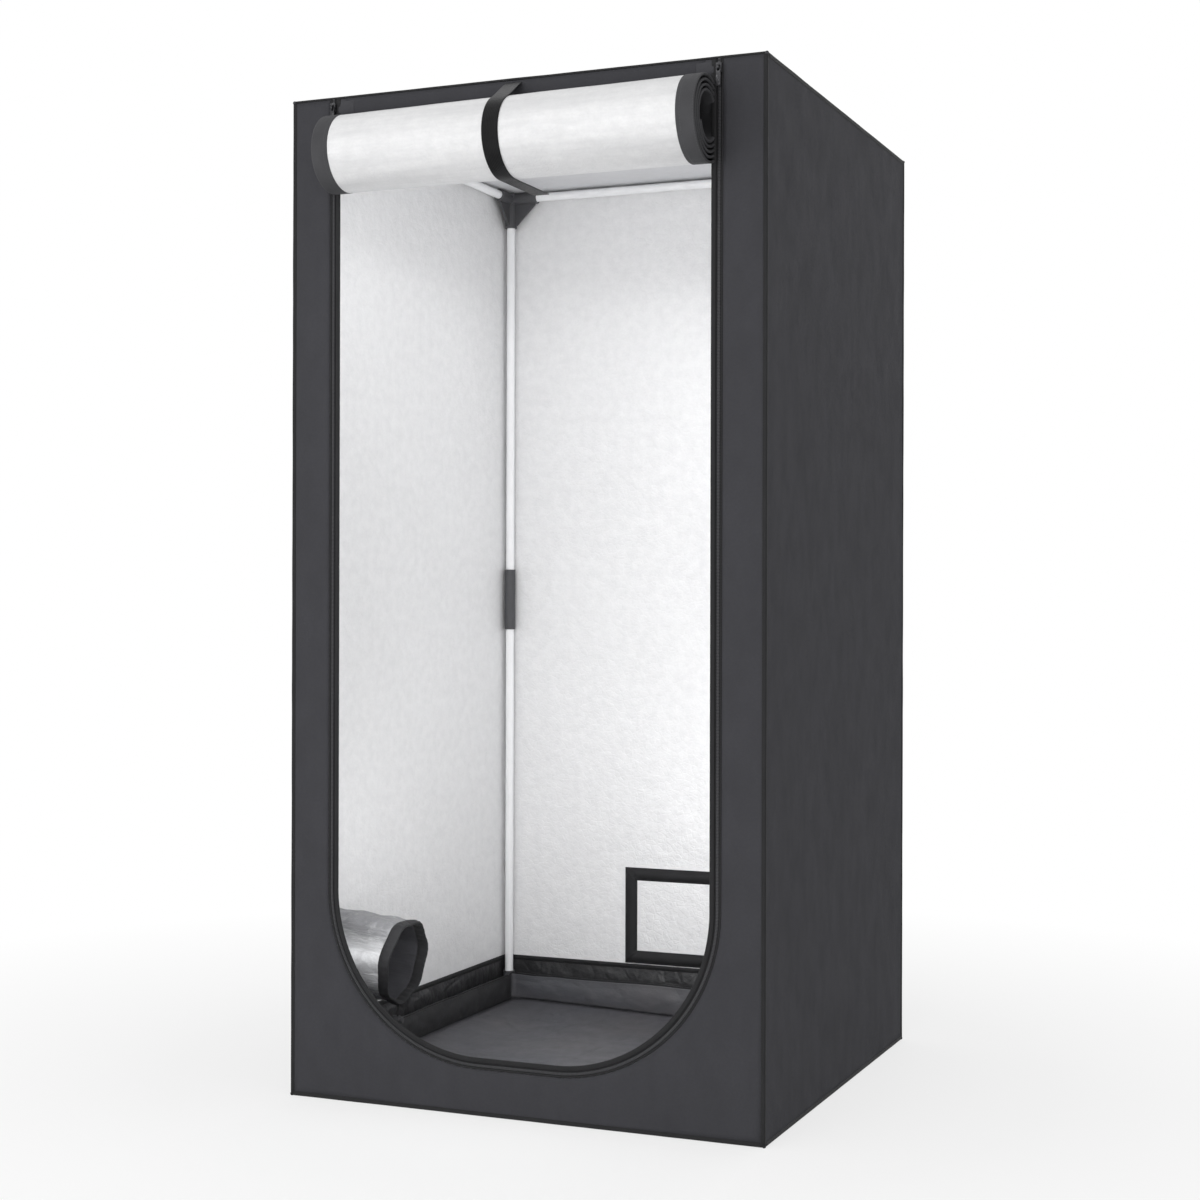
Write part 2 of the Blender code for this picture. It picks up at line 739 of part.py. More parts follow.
# The drawstring leaves the rim of the lower sock at its lowest point.
rim_middle = sock_length + seam_gap + rim_width / 2
rim_share = rim_middle / sock_length
rim_lean = math.atan(2 * sock_droop * rim_share / sock_length)
rim_outer = sock_radius - sock_taper * rim_share + rim_extra + sock_fold * rim_share**2
rim_low = -rim_outer * math.cos(rim_lean) - sock_droop * rim_share**2
string_top = intake_frame @ Vector((0, rim_low - seam_gap, rim_middle - rim_outer * math.sin(rim_lean)))


# The route of the drawstring's left end, from the rim down: across, outward and upward, in metres.
string_route = (
    (0.0000, 0.0020, 0.0002),
    (0.0000, 0.0020, -0.0120),
    (0.0000, 0.0020, -0.0260),
    (0.0005, 0.0026, -0.0400),
    (0.0008, 0.0042, -0.0540),
    (0.0006, 0.0054, -0.0680),
)


def smooth_route(route, steps):
    # A smooth curve through the route's points.
    points = [Vector(point) for point in route]
    points = [2 * points[0] - points[1], *points, 2 * points[-1] - points[-2]]
    curve = []
    for before, start, end, after in zip(points, points[1:], points[2:], points[3:]):
        for index in range(steps):
            share = index / steps
            pull_out = (end - before) / 2
            pull_in = (after - start) / 2
            curve.append(
                start * (1 + 2 * share) * (1 - share) ** 2 + end * share**2 * (3 - 2 * share)
                + pull_out * share * (1 - share) ** 2 - pull_in * share**2 * (1 - share)
            )
    return [*curve, points[-2]]


def add_drawstring():
    for side, way in (("left", -1), ("right", 1)):
        curve = bpy.data.curves.new(f"drawstring {side}", "CURVE")
        curve.dimensions = "3D"
        curve.bevel_depth = string_diameter / 2
        curve.bevel_resolution = 2
        curve.use_fill_caps = True
        points = smooth_route(string_route, string_steps)
        spline = curve.splines.new("POLY")
        spline.points.add(len(points) - 1)
        for point, place in zip(spline.points, points):
            point.co = (place.x, place.y * way, place.z, 1)
        make_object(f"intake_string_{side}", curve, "webbing", string_top)


def add_cord_lock():
    radius = string_diameter / 2
    hole_x = radius + lock_slot_margin
    hole_y = string_spread + radius + lock_slot_margin
    button_radius = hole_y + button_wall
    bore_radius = button_radius + button_running_gap
    lock_radius = bore_radius + lock_wall
    reach = lock_radius + cut_overrun
    centre = (string_top.x, string_top.y, string_top.z - lock_drop)
    low = -lock_length / 2 - lock_shift
    high = lock_length / 2 - lock_shift
    barrel = rod_mesh("lock barrel", low, high, lock_radius, lock_sides)
    bore = rod_mesh("lock bore", low + lock_end_wall, high + cut_overrun, bore_radius, lock_sides)
    hole = box_mesh("string hole", (-hole_x, -hole_y, -reach), (hole_x, hole_y, reach))
    holes = [(bore, along_x), (hole, Matrix())]
    barrel_mesh = combined_mesh("lock barrel", turned_in_place(barrel, along_x), [], holes)
    make_object("intake_lock_barrel", barrel_mesh, "plastic", centre)
    button_low = low + lock_end_wall + seam_gap + button_travel
    button = rod_mesh("lock button", button_low, button_low + button_length, button_radius, lock_sides)
    # Its hole is longer by the travel, so that a press lets the string run.
    slot = box_mesh("button hole", (-hole_x, -hole_y, -reach), (hole_x + button_travel, hole_y, reach))
    slots = [(slot, Matrix())]
    button_mesh = combined_mesh("lock button", turned_in_place(button, along_x), [], slots)
    make_object("intake_lock_button", button_mesh, "plastic", centre)


def turned_in_place(mesh, matrix):
    # The mesh itself, turned in place.
    mesh.transform(matrix)
    return mesh


clear_scene()
add_frame()
add_hanging_bars()
add_floor()
add_front()
add_walls()
add_socks()
add_vent()
add_door()
add_zip_sliders()
add_drawstring()
add_cord_lock()
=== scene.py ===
import math
from itertools import accumulate

import bpy
from mathutils import Matrix, Vector, noise


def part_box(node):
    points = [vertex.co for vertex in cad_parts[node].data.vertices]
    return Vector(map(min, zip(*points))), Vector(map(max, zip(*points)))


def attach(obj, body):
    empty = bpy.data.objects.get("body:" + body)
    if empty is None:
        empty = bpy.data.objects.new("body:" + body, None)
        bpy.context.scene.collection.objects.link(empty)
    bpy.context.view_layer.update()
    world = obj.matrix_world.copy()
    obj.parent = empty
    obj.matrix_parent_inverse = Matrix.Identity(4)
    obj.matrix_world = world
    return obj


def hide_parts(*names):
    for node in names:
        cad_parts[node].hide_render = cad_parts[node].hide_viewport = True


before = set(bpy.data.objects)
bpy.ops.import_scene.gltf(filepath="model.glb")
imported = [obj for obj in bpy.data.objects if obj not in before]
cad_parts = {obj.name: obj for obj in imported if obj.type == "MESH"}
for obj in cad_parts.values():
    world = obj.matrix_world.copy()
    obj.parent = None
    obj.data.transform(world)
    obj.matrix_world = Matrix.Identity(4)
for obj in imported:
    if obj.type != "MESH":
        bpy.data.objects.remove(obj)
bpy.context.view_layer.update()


def linkNew(name, data):
    item = bpy.data.objects.new(name, data)
    bpy.context.collection.objects.link(item)
    return item


# the camera comes first
cameraLook = {
    "place": (1.3199, -3.2165, 0.799),
    "yaw": 22.775,  # degrees, to the left of straight in
    "pitch": 0.007,
    "roll": 0.156,
    "focalPixels": 2023.8,
    "pictureWidth": 1200,
    "sensor": 36,  # mm
    "reach": 100,
}


def addCamera():
    yaw, pitch, roll = (math.radians(cameraLook[key]) for key in ("yaw", "pitch", "roll"))
    flat = math.cos(pitch)
    ahead = Vector((-math.sin(yaw) * flat, math.cos(yaw) * flat, math.sin(pitch)))
    level = Vector((math.cos(yaw), math.sin(yaw), 0))
    above = level.cross(ahead)
    right = level * math.cos(roll) + above * math.sin(roll)
    up = above * math.cos(roll) - level * math.sin(roll)
    data = bpy.data.cameras.new("photoCamera")
    data.sensor_width = cameraLook["sensor"]
    data.lens = cameraLook["focalPixels"] / cameraLook["pictureWidth"] * cameraLook["sensor"]
    data.clip_end = cameraLook["reach"]
    item = linkNew("photoCamera", data)
    turned = Matrix((right, up, -ahead)).transposed().to_4x4()
    item.matrix_world = Matrix.Translation(cameraLook["place"]) @ turned
    bpy.context.scene.camera = item


addCamera()
print("camera set")


# numbers and colours worked out inside a material
def plug(tree, socket, value):
    if isinstance(value, Signal):
        tree.links.new(value.socket, socket)
    elif hasattr(socket.default_value, "__len__") and len(socket.default_value) == 4 and len(value) == 3:
        socket.default_value = (*value, 1)
    else:
        socket.default_value = value


def bothWays(operation):
    # a plain operator, and the one that Python calls when the signal stands on the right
    def plain(self, other):
        return self.math(operation, self, other)

    def swapped(self, other):
        return self.math(operation, other, self)

    return plain, swapped


class Signal:
    # wraps one socket, so that numbers in a material can be worked out with plain operators
    def __init__(self, tree, socket):
        self.tree = tree
        self.socket = socket

    def math(self, operation, *values):
        node = self.tree.nodes.new("ShaderNodeMath")
        node.operation = operation
        for socket, value in zip(node.inputs, values):
            plug(self.tree, socket, value)
        return Signal(self.tree, node.outputs[0])

    __add__, __radd__ = bothWays("ADD")
    __sub__, __rsub__ = bothWays("SUBTRACT")
    __mul__, __rmul__ = bothWays("MULTIPLY")
    __truediv__, __rtruediv__ = bothWays("DIVIDE")
    __gt__ = bothWays("GREATER_THAN")[0]
    __lt__ = bothWays("LESS_THAN")[0]

    def __abs__(self):
        return self.math("ABSOLUTE", self)

    def wave(self, pitch):
        # runs from -1 to 1 once per pitch
        return self.math("SINE", self * (math.tau / pitch))


class Finish:
    # one material: fixed values stand on the shader's own sockets, varying ones are linked in
    def __init__(self, name, **fixed):
        self.material = bpy.data.materials.new(name)
        self.material.use_nodes = True
        self.tree = self.material.node_tree
        self.shader = self.tree.nodes["Principled BSDF"]
        self.lastNormal = None
        for socket, value in fixed.items():
            plug(self.tree, self.shader.inputs[socket.replace("_", " ")], value)

    def add(self, kind, settings=None, values=None, output=0):
        node = self.tree.nodes.new(kind)
        for key, value in (settings or {}).items():
            if key == "stops":
                while len(node.color_ramp.elements) < len(value):
                    node.color_ramp.elements.new(1)
                for stop, (place, shade) in zip(node.color_ramp.elements, value):
                    stop.position = place
                    stop.color = (shade, shade, shade, 1)
            else:
                setattr(node, key, value)
        for socket, value in (values or {}).items():
            plug(self.tree, node.inputs[socket], value)
        return Signal(self.tree, node.outputs[output])

    def clothPlace(self):
        return self.add("ShaderNodeAttribute", {"attribute_name": "cloth"}, output="Vector")

    def bodyPlace(self):
        return self.add("ShaderNodeTexCoord", output="Object")

    def split(self, place):
        node = self.add("ShaderNodeSeparateXYZ", values={0: place}).socket.node
        return [Signal(self.tree, socket) for socket in node.outputs]

    def grain(self, place, size, detail=3, rough=0.5, stretch=(1, 1, 1)):
        # soft noise from 0 to 1 whose lumps are about size metres across
        moved = self.add("ShaderNodeMapping", values={0: place, 3: stretch})
        values = {"Vector": moved, "Scale": 1 / size, "Detail": detail, "Roughness": rough}
        return self.add("ShaderNodeTexNoise", values=values)

    def cells(self, place, size):
        values = {"Vector": place, "Scale": 1 / size}
        return self.add("ShaderNodeTexVoronoi", {"feature": "DISTANCE_TO_EDGE"}, values)

    def curve(self, signal, *stops):
        return self.add("ShaderNodeValToRGB", {"stops": stops}, {0: signal})

    def patch(self, place, low, high, *grain):
        # islands of noise: 0 where it is under low, and 1 where it is over high
        return self.curve(self.grain(place, *grain), (low, 0.0), (high, 1.0))

    def colour(self, base, *layers):
        # each layer is a share and the shade that it brings in over what is there
        for share, shade in layers:
            base = self.add("ShaderNodeMix", {"data_type": "RGBA"}, {0: share, 6: base, 7: shade}, 2)
        plug(self.tree, self.shader.inputs["Base Color"], base)

    def roughness(self, value):
        plug(self.tree, self.shader.inputs["Roughness"], value)

    def bump(self, height, distance, strength):
        values = {"Height": height, "Distance": distance, "Strength": strength}
        if self.lastNormal:
            values["Normal"] = self.lastNormal
        self.lastNormal = self.add("ShaderNodeBump", values=values)
        plug(self.tree, self.shader.inputs["Normal"], self.lastNormal)

    def weave(self, u, v, pitch):
        # plain weave: threads pass over and under each other every half pitch
        return u.wave(pitch) * v.wave(pitch) * 0.5 + 0.5

    def stitches(self, u, v, rows):
        # rows of running stitches at fixed distances across a band
        row = None
        for place in rows:
            near = abs(v - place) < stitch["width"]
            row = near if row is None else row + near
        return row * (u.wave(stitch["length"]) > stitch["gap"])


# finishes
shades = {
    "cover": (0.0600, 0.0600, 0.0665),
    "coverLight": (0.0690, 0.0690, 0.0770),
    "coverDark": (0.0500, 0.0500, 0.0550),
    "black": (0.0260, 0.0260, 0.0275),
    "blackLight": (0.0400, 0.0400, 0.0425),
    "blackDeep": (0.0160, 0.0160, 0.0170),
    "doorTape": (0.0580, 0.0580, 0.0620),
    "doorTapeLight": (0.0900, 0.0900, 0.0950),
    "tape": (0.0180, 0.0180, 0.0190),
    "tapeLight": (0.0310, 0.0310, 0.0330),
    "silver": (0.825, 0.825, 0.830),
    "silverLight": (0.885, 0.885, 0.890),
    "silverDark": (0.660, 0.662, 0.672),
    "silverShade": (0.680, 0.684, 0.702),
    "foil": (0.680, 0.685, 0.700),
    "foilLight": (0.820, 0.825, 0.840),
    "foilDark": (0.230, 0.232, 0.242),
    "enamel": (0.900, 0.905, 0.915),
    "enamelDull": (0.780, 0.785, 0.800),
    "plastic": (0.0580, 0.0580, 0.0630),
    "plasticLight": (0.0780, 0.0780, 0.0830),
    "webbing": (0.0080, 0.0080, 0.0085),
    "webbingWorn": (0.0190, 0.0190, 0.0200),
    # the strap's painted highlight
    "webbingHighlight": (0.1300, 0.1300, 0.1330),
    "metal": (0.0400, 0.0400, 0.0430),
    "metalWorn": (0.1200, 0.1200, 0.1250),
    "tray": (0.0800, 0.0820, 0.0950),
    "trayWarm": (0.0930, 0.0855, 0.0870),
    "trayDark": (0.0620, 0.0640, 0.0700),
    "net": (0.0200, 0.0200, 0.0220),
}
stitch = {"width": 0.0006, "length": 0.0042, "gap": -0.45}
# a patch is low, high, size, detail, roughness and stretch, and a bump is distance and strength
woven = {
    "tone": (0.32, 0.68, 0.16), "fleck": (0.35, 0.65, 0.0045, 2, 0.6),
    "blotch": (0.4, 0.7, 0.035, 3, 0.5, (1, 0.5, 1)), "wrinkle": (0.060, 4, 0.62),
    "wrinkleBump": (0.0040, 0.6), "weaveBump": (0.00018, 0.8),
}


def makeWovenCloth(name, base, light, dark, roughness, sheen, pitch=0.0011):
    made = Finish(name, Sheen_Weight=sheen, Sheen_Roughness=0.5, Specular_IOR_Level=0.05)
    place = made.clothPlace()
    u, v, _ = made.split(place)
    tone, fleck, blotch = (made.patch(place, *woven[key]) for key in ("tone", "fleck", "blotch"))
    weave = made.weave(u, v, pitch)
    layers = [(tone * 0.6, light), (blotch * 0.35, dark), (fleck * 0.22, dark), ((1 - weave) * 0.25, dark)]
    made.colour(base, *layers)
    made.roughness(roughness + blotch * 0.08 - weave * 0.05)
    made.bump(made.grain(place, *woven["wrinkle"]), *woven["wrinkleBump"])
    made.bump(weave, *woven["weaveBump"])
    return made


silver = {
    "wide": (0.3, 0.7, 0.22), "lump": (0.36, 0.66, 0.020, 4, 0.65), "foil": (0.38, 0.64, 0.0035, 2, 0.6),
    "reflectionBands": (0.42, 0.66, 0.030, 4, 0.6, (0.10, 1, 1)), "wrinkle": (0.055, 4, 0.62), "wrinkleStrength": 0.7,
    "crease": 0.011, "creaseEdge": 0.12, "creaseBump": (0.00045, 0.40),
    "weave": 0.0016, "weaveBump": (0.00012, 0.5), "shadeFrom": 0.25, "shadeTo": 0.85,
}


def makeLining(name, base, light, dark, metallic, depth, reflectionShare=0.0, shadeShare=0.0):
    # silver cloth with soft crinkles, and darker streaks along u, which are painted reflection on the rolled
    # door
    # where w is high, painted shade darkens its colour
    made = Finish(name, Metallic=metallic, Specular_IOR_Level=0.5)
    place = made.clothPlace()
    u, v, w = made.split(place)
    wide, lump, foil = (made.patch(place, *silver[key]) for key in ("wide", "lump", "foil"))
    crease = made.cells(place, silver["crease"])
    layers = [(wide * 0.35, light), (lump * 0.30, dark)]
    # painted reflection: darker streaks along u
    if reflectionShare:
        layers.append((made.patch(place, *silver["reflectionBands"]) * reflectionShare, dark))
    # painted shade, darker where w is high
    if shadeShare:
        paintedShade = made.curve(w + (lump - 0.5) * 0.5, (silver["shadeFrom"], 0.0), (silver["shadeTo"], shadeShare))
        layers.append((paintedShade, dark))
    made.colour(base, *layers, (foil * 0.12, dark))
    made.roughness(0.38 + lump * 0.14 + foil * 0.06)
    made.bump(made.grain(place, *silver["wrinkle"]), depth, silver["wrinkleStrength"])
    made.bump(made.curve(crease, (0.0, 0.0), (silver["creaseEdge"], 1.0)), *silver["creaseBump"])
    made.bump(made.weave(u, v, silver["weave"]), *silver["weaveBump"])
    return made


binding = {
    "rib": 0.0011, "tone": (0.35, 0.7, 0.05), "wrinkle": (0.010,), "wrinkleBump": (0.0007, 0.5),
    "ribBump": (0.00015, 0.7), "threadBump": (0.0005, 0.9),
    "pipingRows": (0.0015, 0.0105), "hemRows": (0.0020, 0.0225),
}


def makeBinding(name, rows, base, light):
    # grosgrain tape: fine ribs across it and rows of stitches along it
    # its ends can turn into the cover's own cloth
    made = Finish(name, Sheen_Weight=0.02, Sheen_Roughness=0.45, Specular_IOR_Level=0.2)
    place = made.clothPlace()
    u, v, w = made.split(place)
    ribs = u.wave(binding["rib"]) * 0.5 + 0.5
    tone = made.patch(place, *binding["tone"])
    thread = made.stitches(u, v, binding[rows])
    made.colour(base, (tone * 0.5, light), (thread * 0.75, light), (w, shades["cover"]))
    made.roughness(0.72 - ribs * 0.08 + tone * 0.06)
    made.bump(made.grain(place, *binding["wrinkle"]), *binding["wrinkleBump"])
    made.bump(ribs, *binding["ribBump"])
    made.bump(thread, *binding["threadBump"])
    return made


vinyl = {
    "tone": (0.3, 0.7, 0.20), "blotch": (0.35, 0.7, 0.045, 4, 0.6), "speck": (0.4, 0.62, 0.003, 2, 0.7),
    "creaseEdge": 0.10, "wrinkle": (0.050, 4, 0.55), "wrinkleStrength": 0.7, "smaller": 0.6, "shallower": 0.4,
    "creaseBump": (0.0008, 0.5), "weave": 0.0014, "weaveBump": (0.00010, 0.5),
}


def makeVinyl(name, base, light, dark, roughness, creaseSize, depth, wallDark=False):
    # coated cloth that keeps its creases
    made = Finish(name, Specular_IOR_Level=0.4)
    place = made.clothPlace()
    u, v, w = made.split(place)
    tone, blotch, speck = (made.patch(place, *vinyl[key]) for key in ("tone", "blotch", "speck"))
    crease = made.curve(made.cells(place, creaseSize), (0.0, 0.0), (vinyl["creaseEdge"], 1.0))
    # painted shade: the crease lines are darker
    layers = [(tone * 0.7, light), (blotch * 0.45, dark), (speck * 0.12, dark), ((1 - crease) * 0.35, dark)]
    # w darkens it toward black: painted shadow along the tray's bend, and its side walls made black
    if wallDark:
        layers.append((w * w * w, shades["black"]))
    made.colour(base, *layers)
    made.roughness(roughness + blotch * 0.12 - tone * 0.05)
    made.bump(made.grain(place, *vinyl["wrinkle"]), depth, vinyl["wrinkleStrength"])
    made.bump(made.cells(place, creaseSize * vinyl["smaller"]), depth * vinyl["shallower"], 0.6)
    made.bump(crease, *vinyl["creaseBump"])
    made.bump(made.weave(u, v, vinyl["weave"]), *vinyl["weaveBump"])
    return made


enamel = {
    "smear": (0.4, 0.72, 0.030, 3, 0.5, (1, 1, 0.4)), "nick": (0.70, 0.74, 0.006, 4, 0.7),
    "peel": (0.0022, 2), "peelBump": (0.00008, 0.5),
}


def makeEnamel(name):
    made = Finish(name, Coat_Weight=0.35, Coat_Roughness=0.15, Specular_IOR_Level=0.5)
    place = made.bodyPlace()
    smear, nick = (made.patch(place, *enamel[key]) for key in ("smear", "nick"))
    made.colour(shades["enamel"], (smear * 0.35, shades["enamelDull"]), (nick * 0.4, shades["metalWorn"]))
    made.roughness(0.30 + smear * 0.12 + nick * 0.2)
    made.bump(made.grain(place, *enamel["peel"]), *enamel["peelBump"])
    return made


moulded = {"flow": (0.35, 0.7, 0.018), "grain": (0.0009, 2, 0.6), "grainBump": (0.00010, 0.8)}


def makePlastic(name):
    made = Finish(name, Specular_IOR_Level=0.5)
    place = made.bodyPlace()
    flow = made.patch(place, *moulded["flow"])
    made.colour(shades["plastic"], (flow * 0.5, shades["plasticLight"]))
    made.roughness(0.48 + flow * 0.10)
    made.bump(made.grain(place, *moulded["grain"]), *moulded["grainBump"])
    return made


webbing = {
    "rib": 0.0026, "pick": 0.0016, "wear": (0.45, 0.72, 0.03, 4),
    "ribBump": (0.00035, 0.7), "pickBump": (0.00022, 0.8),
}


def makeWebbing(name):
    # its top carries a painted highlight where w is high
    made = Finish(name, Specular_IOR_Level=0.10)
    place = made.clothPlace()
    u, v, w = made.split(place)
    ribs = v.wave(webbing["rib"]) * 0.5 + 0.5
    picks = (u + v * 0.5).wave(webbing["pick"]) * 0.5 + 0.5
    wear = made.patch(place, *webbing["wear"])
    worn = shades["webbingWorn"]
    layers = [(wear * 0.55, worn), (picks * ribs * 0.25, worn), (w * 0.8, shades["webbingHighlight"])]
    made.colour(shades["webbing"], *layers)
    made.roughness(0.40 + wear * 0.12 - picks * 0.06)
    made.bump(ribs, *webbing["ribBump"])
    made.bump(picks, *webbing["pickBump"])
    return made


zipPaint = {"wear": (0.52, 0.66, 0.0035, 4, 0.6), "grain": (0.0012, 2), "grainBump": (0.00006, 0.6)}


def makeZipMetal(name):
    made = Finish(name, Metallic=0.85)
    place = made.bodyPlace()
    wear = made.patch(place, *zipPaint["wear"])
    made.colour(shades["metal"], (wear * 0.7, shades["metalWorn"]))
    made.roughness(0.42 - wear * 0.14)
    made.bump(made.grain(place, *zipPaint["grain"]), *zipPaint["grainBump"])
    return made


braiding = {"pitch": 0.0017, "lean": 0.9, "bump": (0.00025, 0.9)}


def makeCordCover(name):
    made = Finish(name, Sheen_Weight=0.2, Specular_IOR_Level=0.35)
    x, y, z = made.split(made.bodyPlace())
    pitch, lean = braiding["pitch"], braiding["lean"]
    braid = (z + x * lean + y * lean).wave(pitch) * (z - x * lean - y * lean).wave(pitch)
    raised = braid * 0.5 + 0.5
    made.colour(shades["webbing"], (raised * 0.5, shades["webbingWorn"]))
    made.roughness(0.62 + raised * 0.08)
    made.bump(raised, *braiding["bump"])
    return made


def tones(*names):
    return [shades[name] for name in names]


blacks = tones("black", "blackLight", "blackDeep")
silvers = tones("silver", "silverLight", "silverDark")
darkTape = tones("tape", "tapeLight")
finishes = {
    "coverCloth": makeWovenCloth("coverCloth", *tones("cover", "coverLight", "coverDark"), 0.80, 0.01),
    "blackCloth": makeWovenCloth("blackCloth", *blacks, 0.68, 0.05),
    "lining": makeLining("silverLining", *silvers, 0.12, 0.0042),
    # the roof's lining is a darker silver: painted shade
    "roofLining": makeLining("roofLining", *tones("silverShade", "silverDark", "silverShade"), 0.12, 0.0042),
    # the rolled door's lining carries darker streaks of painted reflection
    "doorLining": makeLining("doorLining", *silvers, 0.12, 0.0042, reflectionShare=0.55),
    # painted shade over the socks' tops and undersides
    "duct": makeLining("ductFoil", *tones("foil", "foilLight", "foilDark"), 0.45, 0.0080, shadeShare=0.9),
    "piping": makeBinding("pipingTape", "pipingRows", *darkTape),
    "hemTape": makeBinding("hemTape", "hemRows", *darkTape),
    "doorTape": makeBinding("doorTape", "hemRows", *tones("doorTape", "doorTapeLight")),
    "skirtVinyl": makeVinyl("skirtVinyl", *blacks, 0.36, 0.045, 0.0065),
    "trayVinyl": makeVinyl("trayVinyl", *tones("tray", "trayWarm", "trayDark"), 0.50, 0.09, 0.0036, True),
    "enamel": makeEnamel("whiteEnamel"),
    "plastic": makePlastic("mouldedPlastic"),
    "webbing": makeWebbing("strapWebbing"),
    "zipMetal": makeZipMetal("zipMetal"),
    "cord": makeCordCover("braidedCord"),
    "net": makeWovenCloth("ventNet", *tones("net", "black", "blackDeep"), 0.62, 0.05, 0.0006),
}
print("finishes made:", len(finishes))


# mesh helpers
def softStep(value):
    value = min(max(value, 0), 1)
    return value * value * (3 - 2 * value)


def ripple(a, b, sizes, seed=0.0):
    return noise.noise(Vector((a / sizes[0] + seed * 7.3, b / sizes[1] - seed * 3.1, seed * 1.9 + 0.5)))


def rippled(look, a, b, seed):
    # look is how far the cloth goes, and the wave's size along a and b
    amount, *sizes = look
    return amount * ripple(a, b, sizes, seed)


def ridge(a, b, size, seed=0.0):
    # sharp crests between soft hollows, as in creased foil
    return 1 - 2 * abs(noise.noise(Vector((a / size + seed * 5.7, b / size + seed * 2.3, seed))))


squareCorners = ((-1, -1), (1, -1), (1, 1), (-1, 1))


def turnsOf(sides):
    return [math.tau * side / sides for side in range(sides)]


def circle(sides, across, high=None, middle=(0, 0)):
    high = high or across
    x, y = middle
    return [(x + across * math.cos(turn), y + high * math.sin(turn)) for turn in turnsOf(sides)]


def runsAlong(path, gap=lambda first, second: (second - first).length):
    # how far along a path each of its points lies
    return [0.0, *accumulate(gap(first, second) for first, second in zip(path, path[1:]))]


def alongAt(path, index, closed=False):
    # the way a path runs at one of its points, from the point before it to the point after it
    if closed:
        return path[(index + 1) % len(path)] - path[index - 1]
    return path[min(index + 1, len(path) - 1)] - path[max(index - 1, 0)]


def gridFaces(rows, columns, wrap=False):
    faces = []
    for row in range(rows - 1):
        low, high = row * columns, (row + 1) * columns
        for column in range(columns if wrap else columns - 1):
            after = (column + 1) % columns
            faces.append((low + column, low + after, high + after, high + column))
    return faces


def tubeFaces(rings, sides, closed=False):
    # a tube of rings is capped at its ends, or closed into one ring itself
    faces = gridFaces(rings, sides, True)
    last = (rings - 1) * sides
    if closed:
        return faces + [(last + k, last + (k + 1) % sides, (k + 1) % sides, k) for k in range(sides)]
    return faces + [tuple(range(sides))[::-1], tuple(range(last, last + sides))]


def addPiece(name, places, faces, finish, body, replaces=(), cloth=None, smooth=True):
    mesh = bpy.data.meshes.new(name)
    mesh.from_pydata([tuple(place) for place in places], [], faces)
    mesh.validate()
    if cloth is not None:
        attribute = mesh.attributes.new("cloth", "FLOAT_VECTOR", "POINT")
        for spot, value in zip(attribute.data, cloth):
            spot.vector = value
    if smooth:
        mesh.shade_smooth()
    mesh.materials.append(finishes[finish].material)
    item = linkNew(name, mesh)
    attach(item, body)
    if replaces:
        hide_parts(*replaces)
    return item


def addRuled(name, rows, columns, rule, faces, finish, body="tent", replaces=()):
    # rows of points, each with its place in space and on the flat cloth by the rule
    places, cloth = zip(*(rule(row, column) for row in range(rows) for column in range(columns)))
    return addPiece(name, places, faces, finish, body, replaces, cloth)


def addCloth(name, rows, columns, rule, finish, skin, body="tent", replaces=(), wrap=False):
    faces = gridFaces(rows, columns, wrap)
    return thicken(addRuled(name, rows, columns, rule, faces, finish, body, replaces), skin)


def thicken(item, thickness):
    modifier = item.modifiers.new("thickness", "SOLIDIFY")
    modifier.thickness = thickness
    modifier.offset = 0
    modifier.use_even_offset = True
    return item


def cutHole(item, rings):
    # rings of points, joined into one closed cutter that is used up at once
    mesh = bpy.data.meshes.new("cutter")
    places = [tuple(place) for ring in rings for place in ring]
    mesh.from_pydata(places, [], tubeFaces(len(rings), len(rings[0])))
    cutter = linkNew("cutter", mesh)
    modifier = item.modifiers.new("hole", "BOOLEAN")
    modifier.operation = "DIFFERENCE"
    modifier.solver = "EXACT"
    modifier.object = cutter
    bpy.context.view_layer.update()
    result = bpy.data.meshes.new_from_object(item.evaluated_get(bpy.context.evaluated_depsgraph_get()))
    item.modifiers.clear()
    item.data = result
    bpy.data.objects.remove(cutter, do_unlink=True)


def nameCloth(item, rule):
    # gives each point its place on the flat cloth, in metres
    mesh = item.data
    if "cloth" in mesh.attributes:
        mesh.attributes.remove(mesh.attributes["cloth"])
    attribute = mesh.attributes.new("cloth", "FLOAT_VECTOR", "POINT")
    for spot, vertex in zip(attribute.data, mesh.vertices):
        spot.vector = rule(vertex.co)


def sweep(path, normals, section, closed=False):
    # carries a closed section of (side, height) points along a path
    # side runs along path x normal, and height along the normal
    places, cloth = [], []
    around = runsAlong(section, math.dist)
    for index, (place, run) in enumerate(zip(path, runsAlong(path))):
        along = alongAt(path, index, closed).normalized()
        normal = normals[index] if isinstance(normals, list) else normals
        side = along.cross(normal).normalized()
        for (across, height), distance in zip(section, around):
            places.append(place + side * across + normal * height)
            cloth.append((run, distance, 0))
    return places, tubeFaces(len(path), len(section), closed), cloth


def addSwept(name, path, normals, section, finish, closed=False, replaces=()):
    places, faces, cloth = sweep(path, normals, section, closed)
    return addPiece(name, places, faces, finish, "tent", replaces, cloth)


def addJoined(name, parts, finish, replaces=(), smooth=True):
    # many small closed shapes as one piece
    places, faces, cloth = [], [], []
    for somePlaces, someFaces, someCloth in parts:
        start = len(places)
        places += somePlaces
        faces += [tuple(index + start for index in face) for face in someFaces]
        cloth += someCloth
    return addPiece(name, places, faces, finish, "tent", replaces, cloth, smooth)


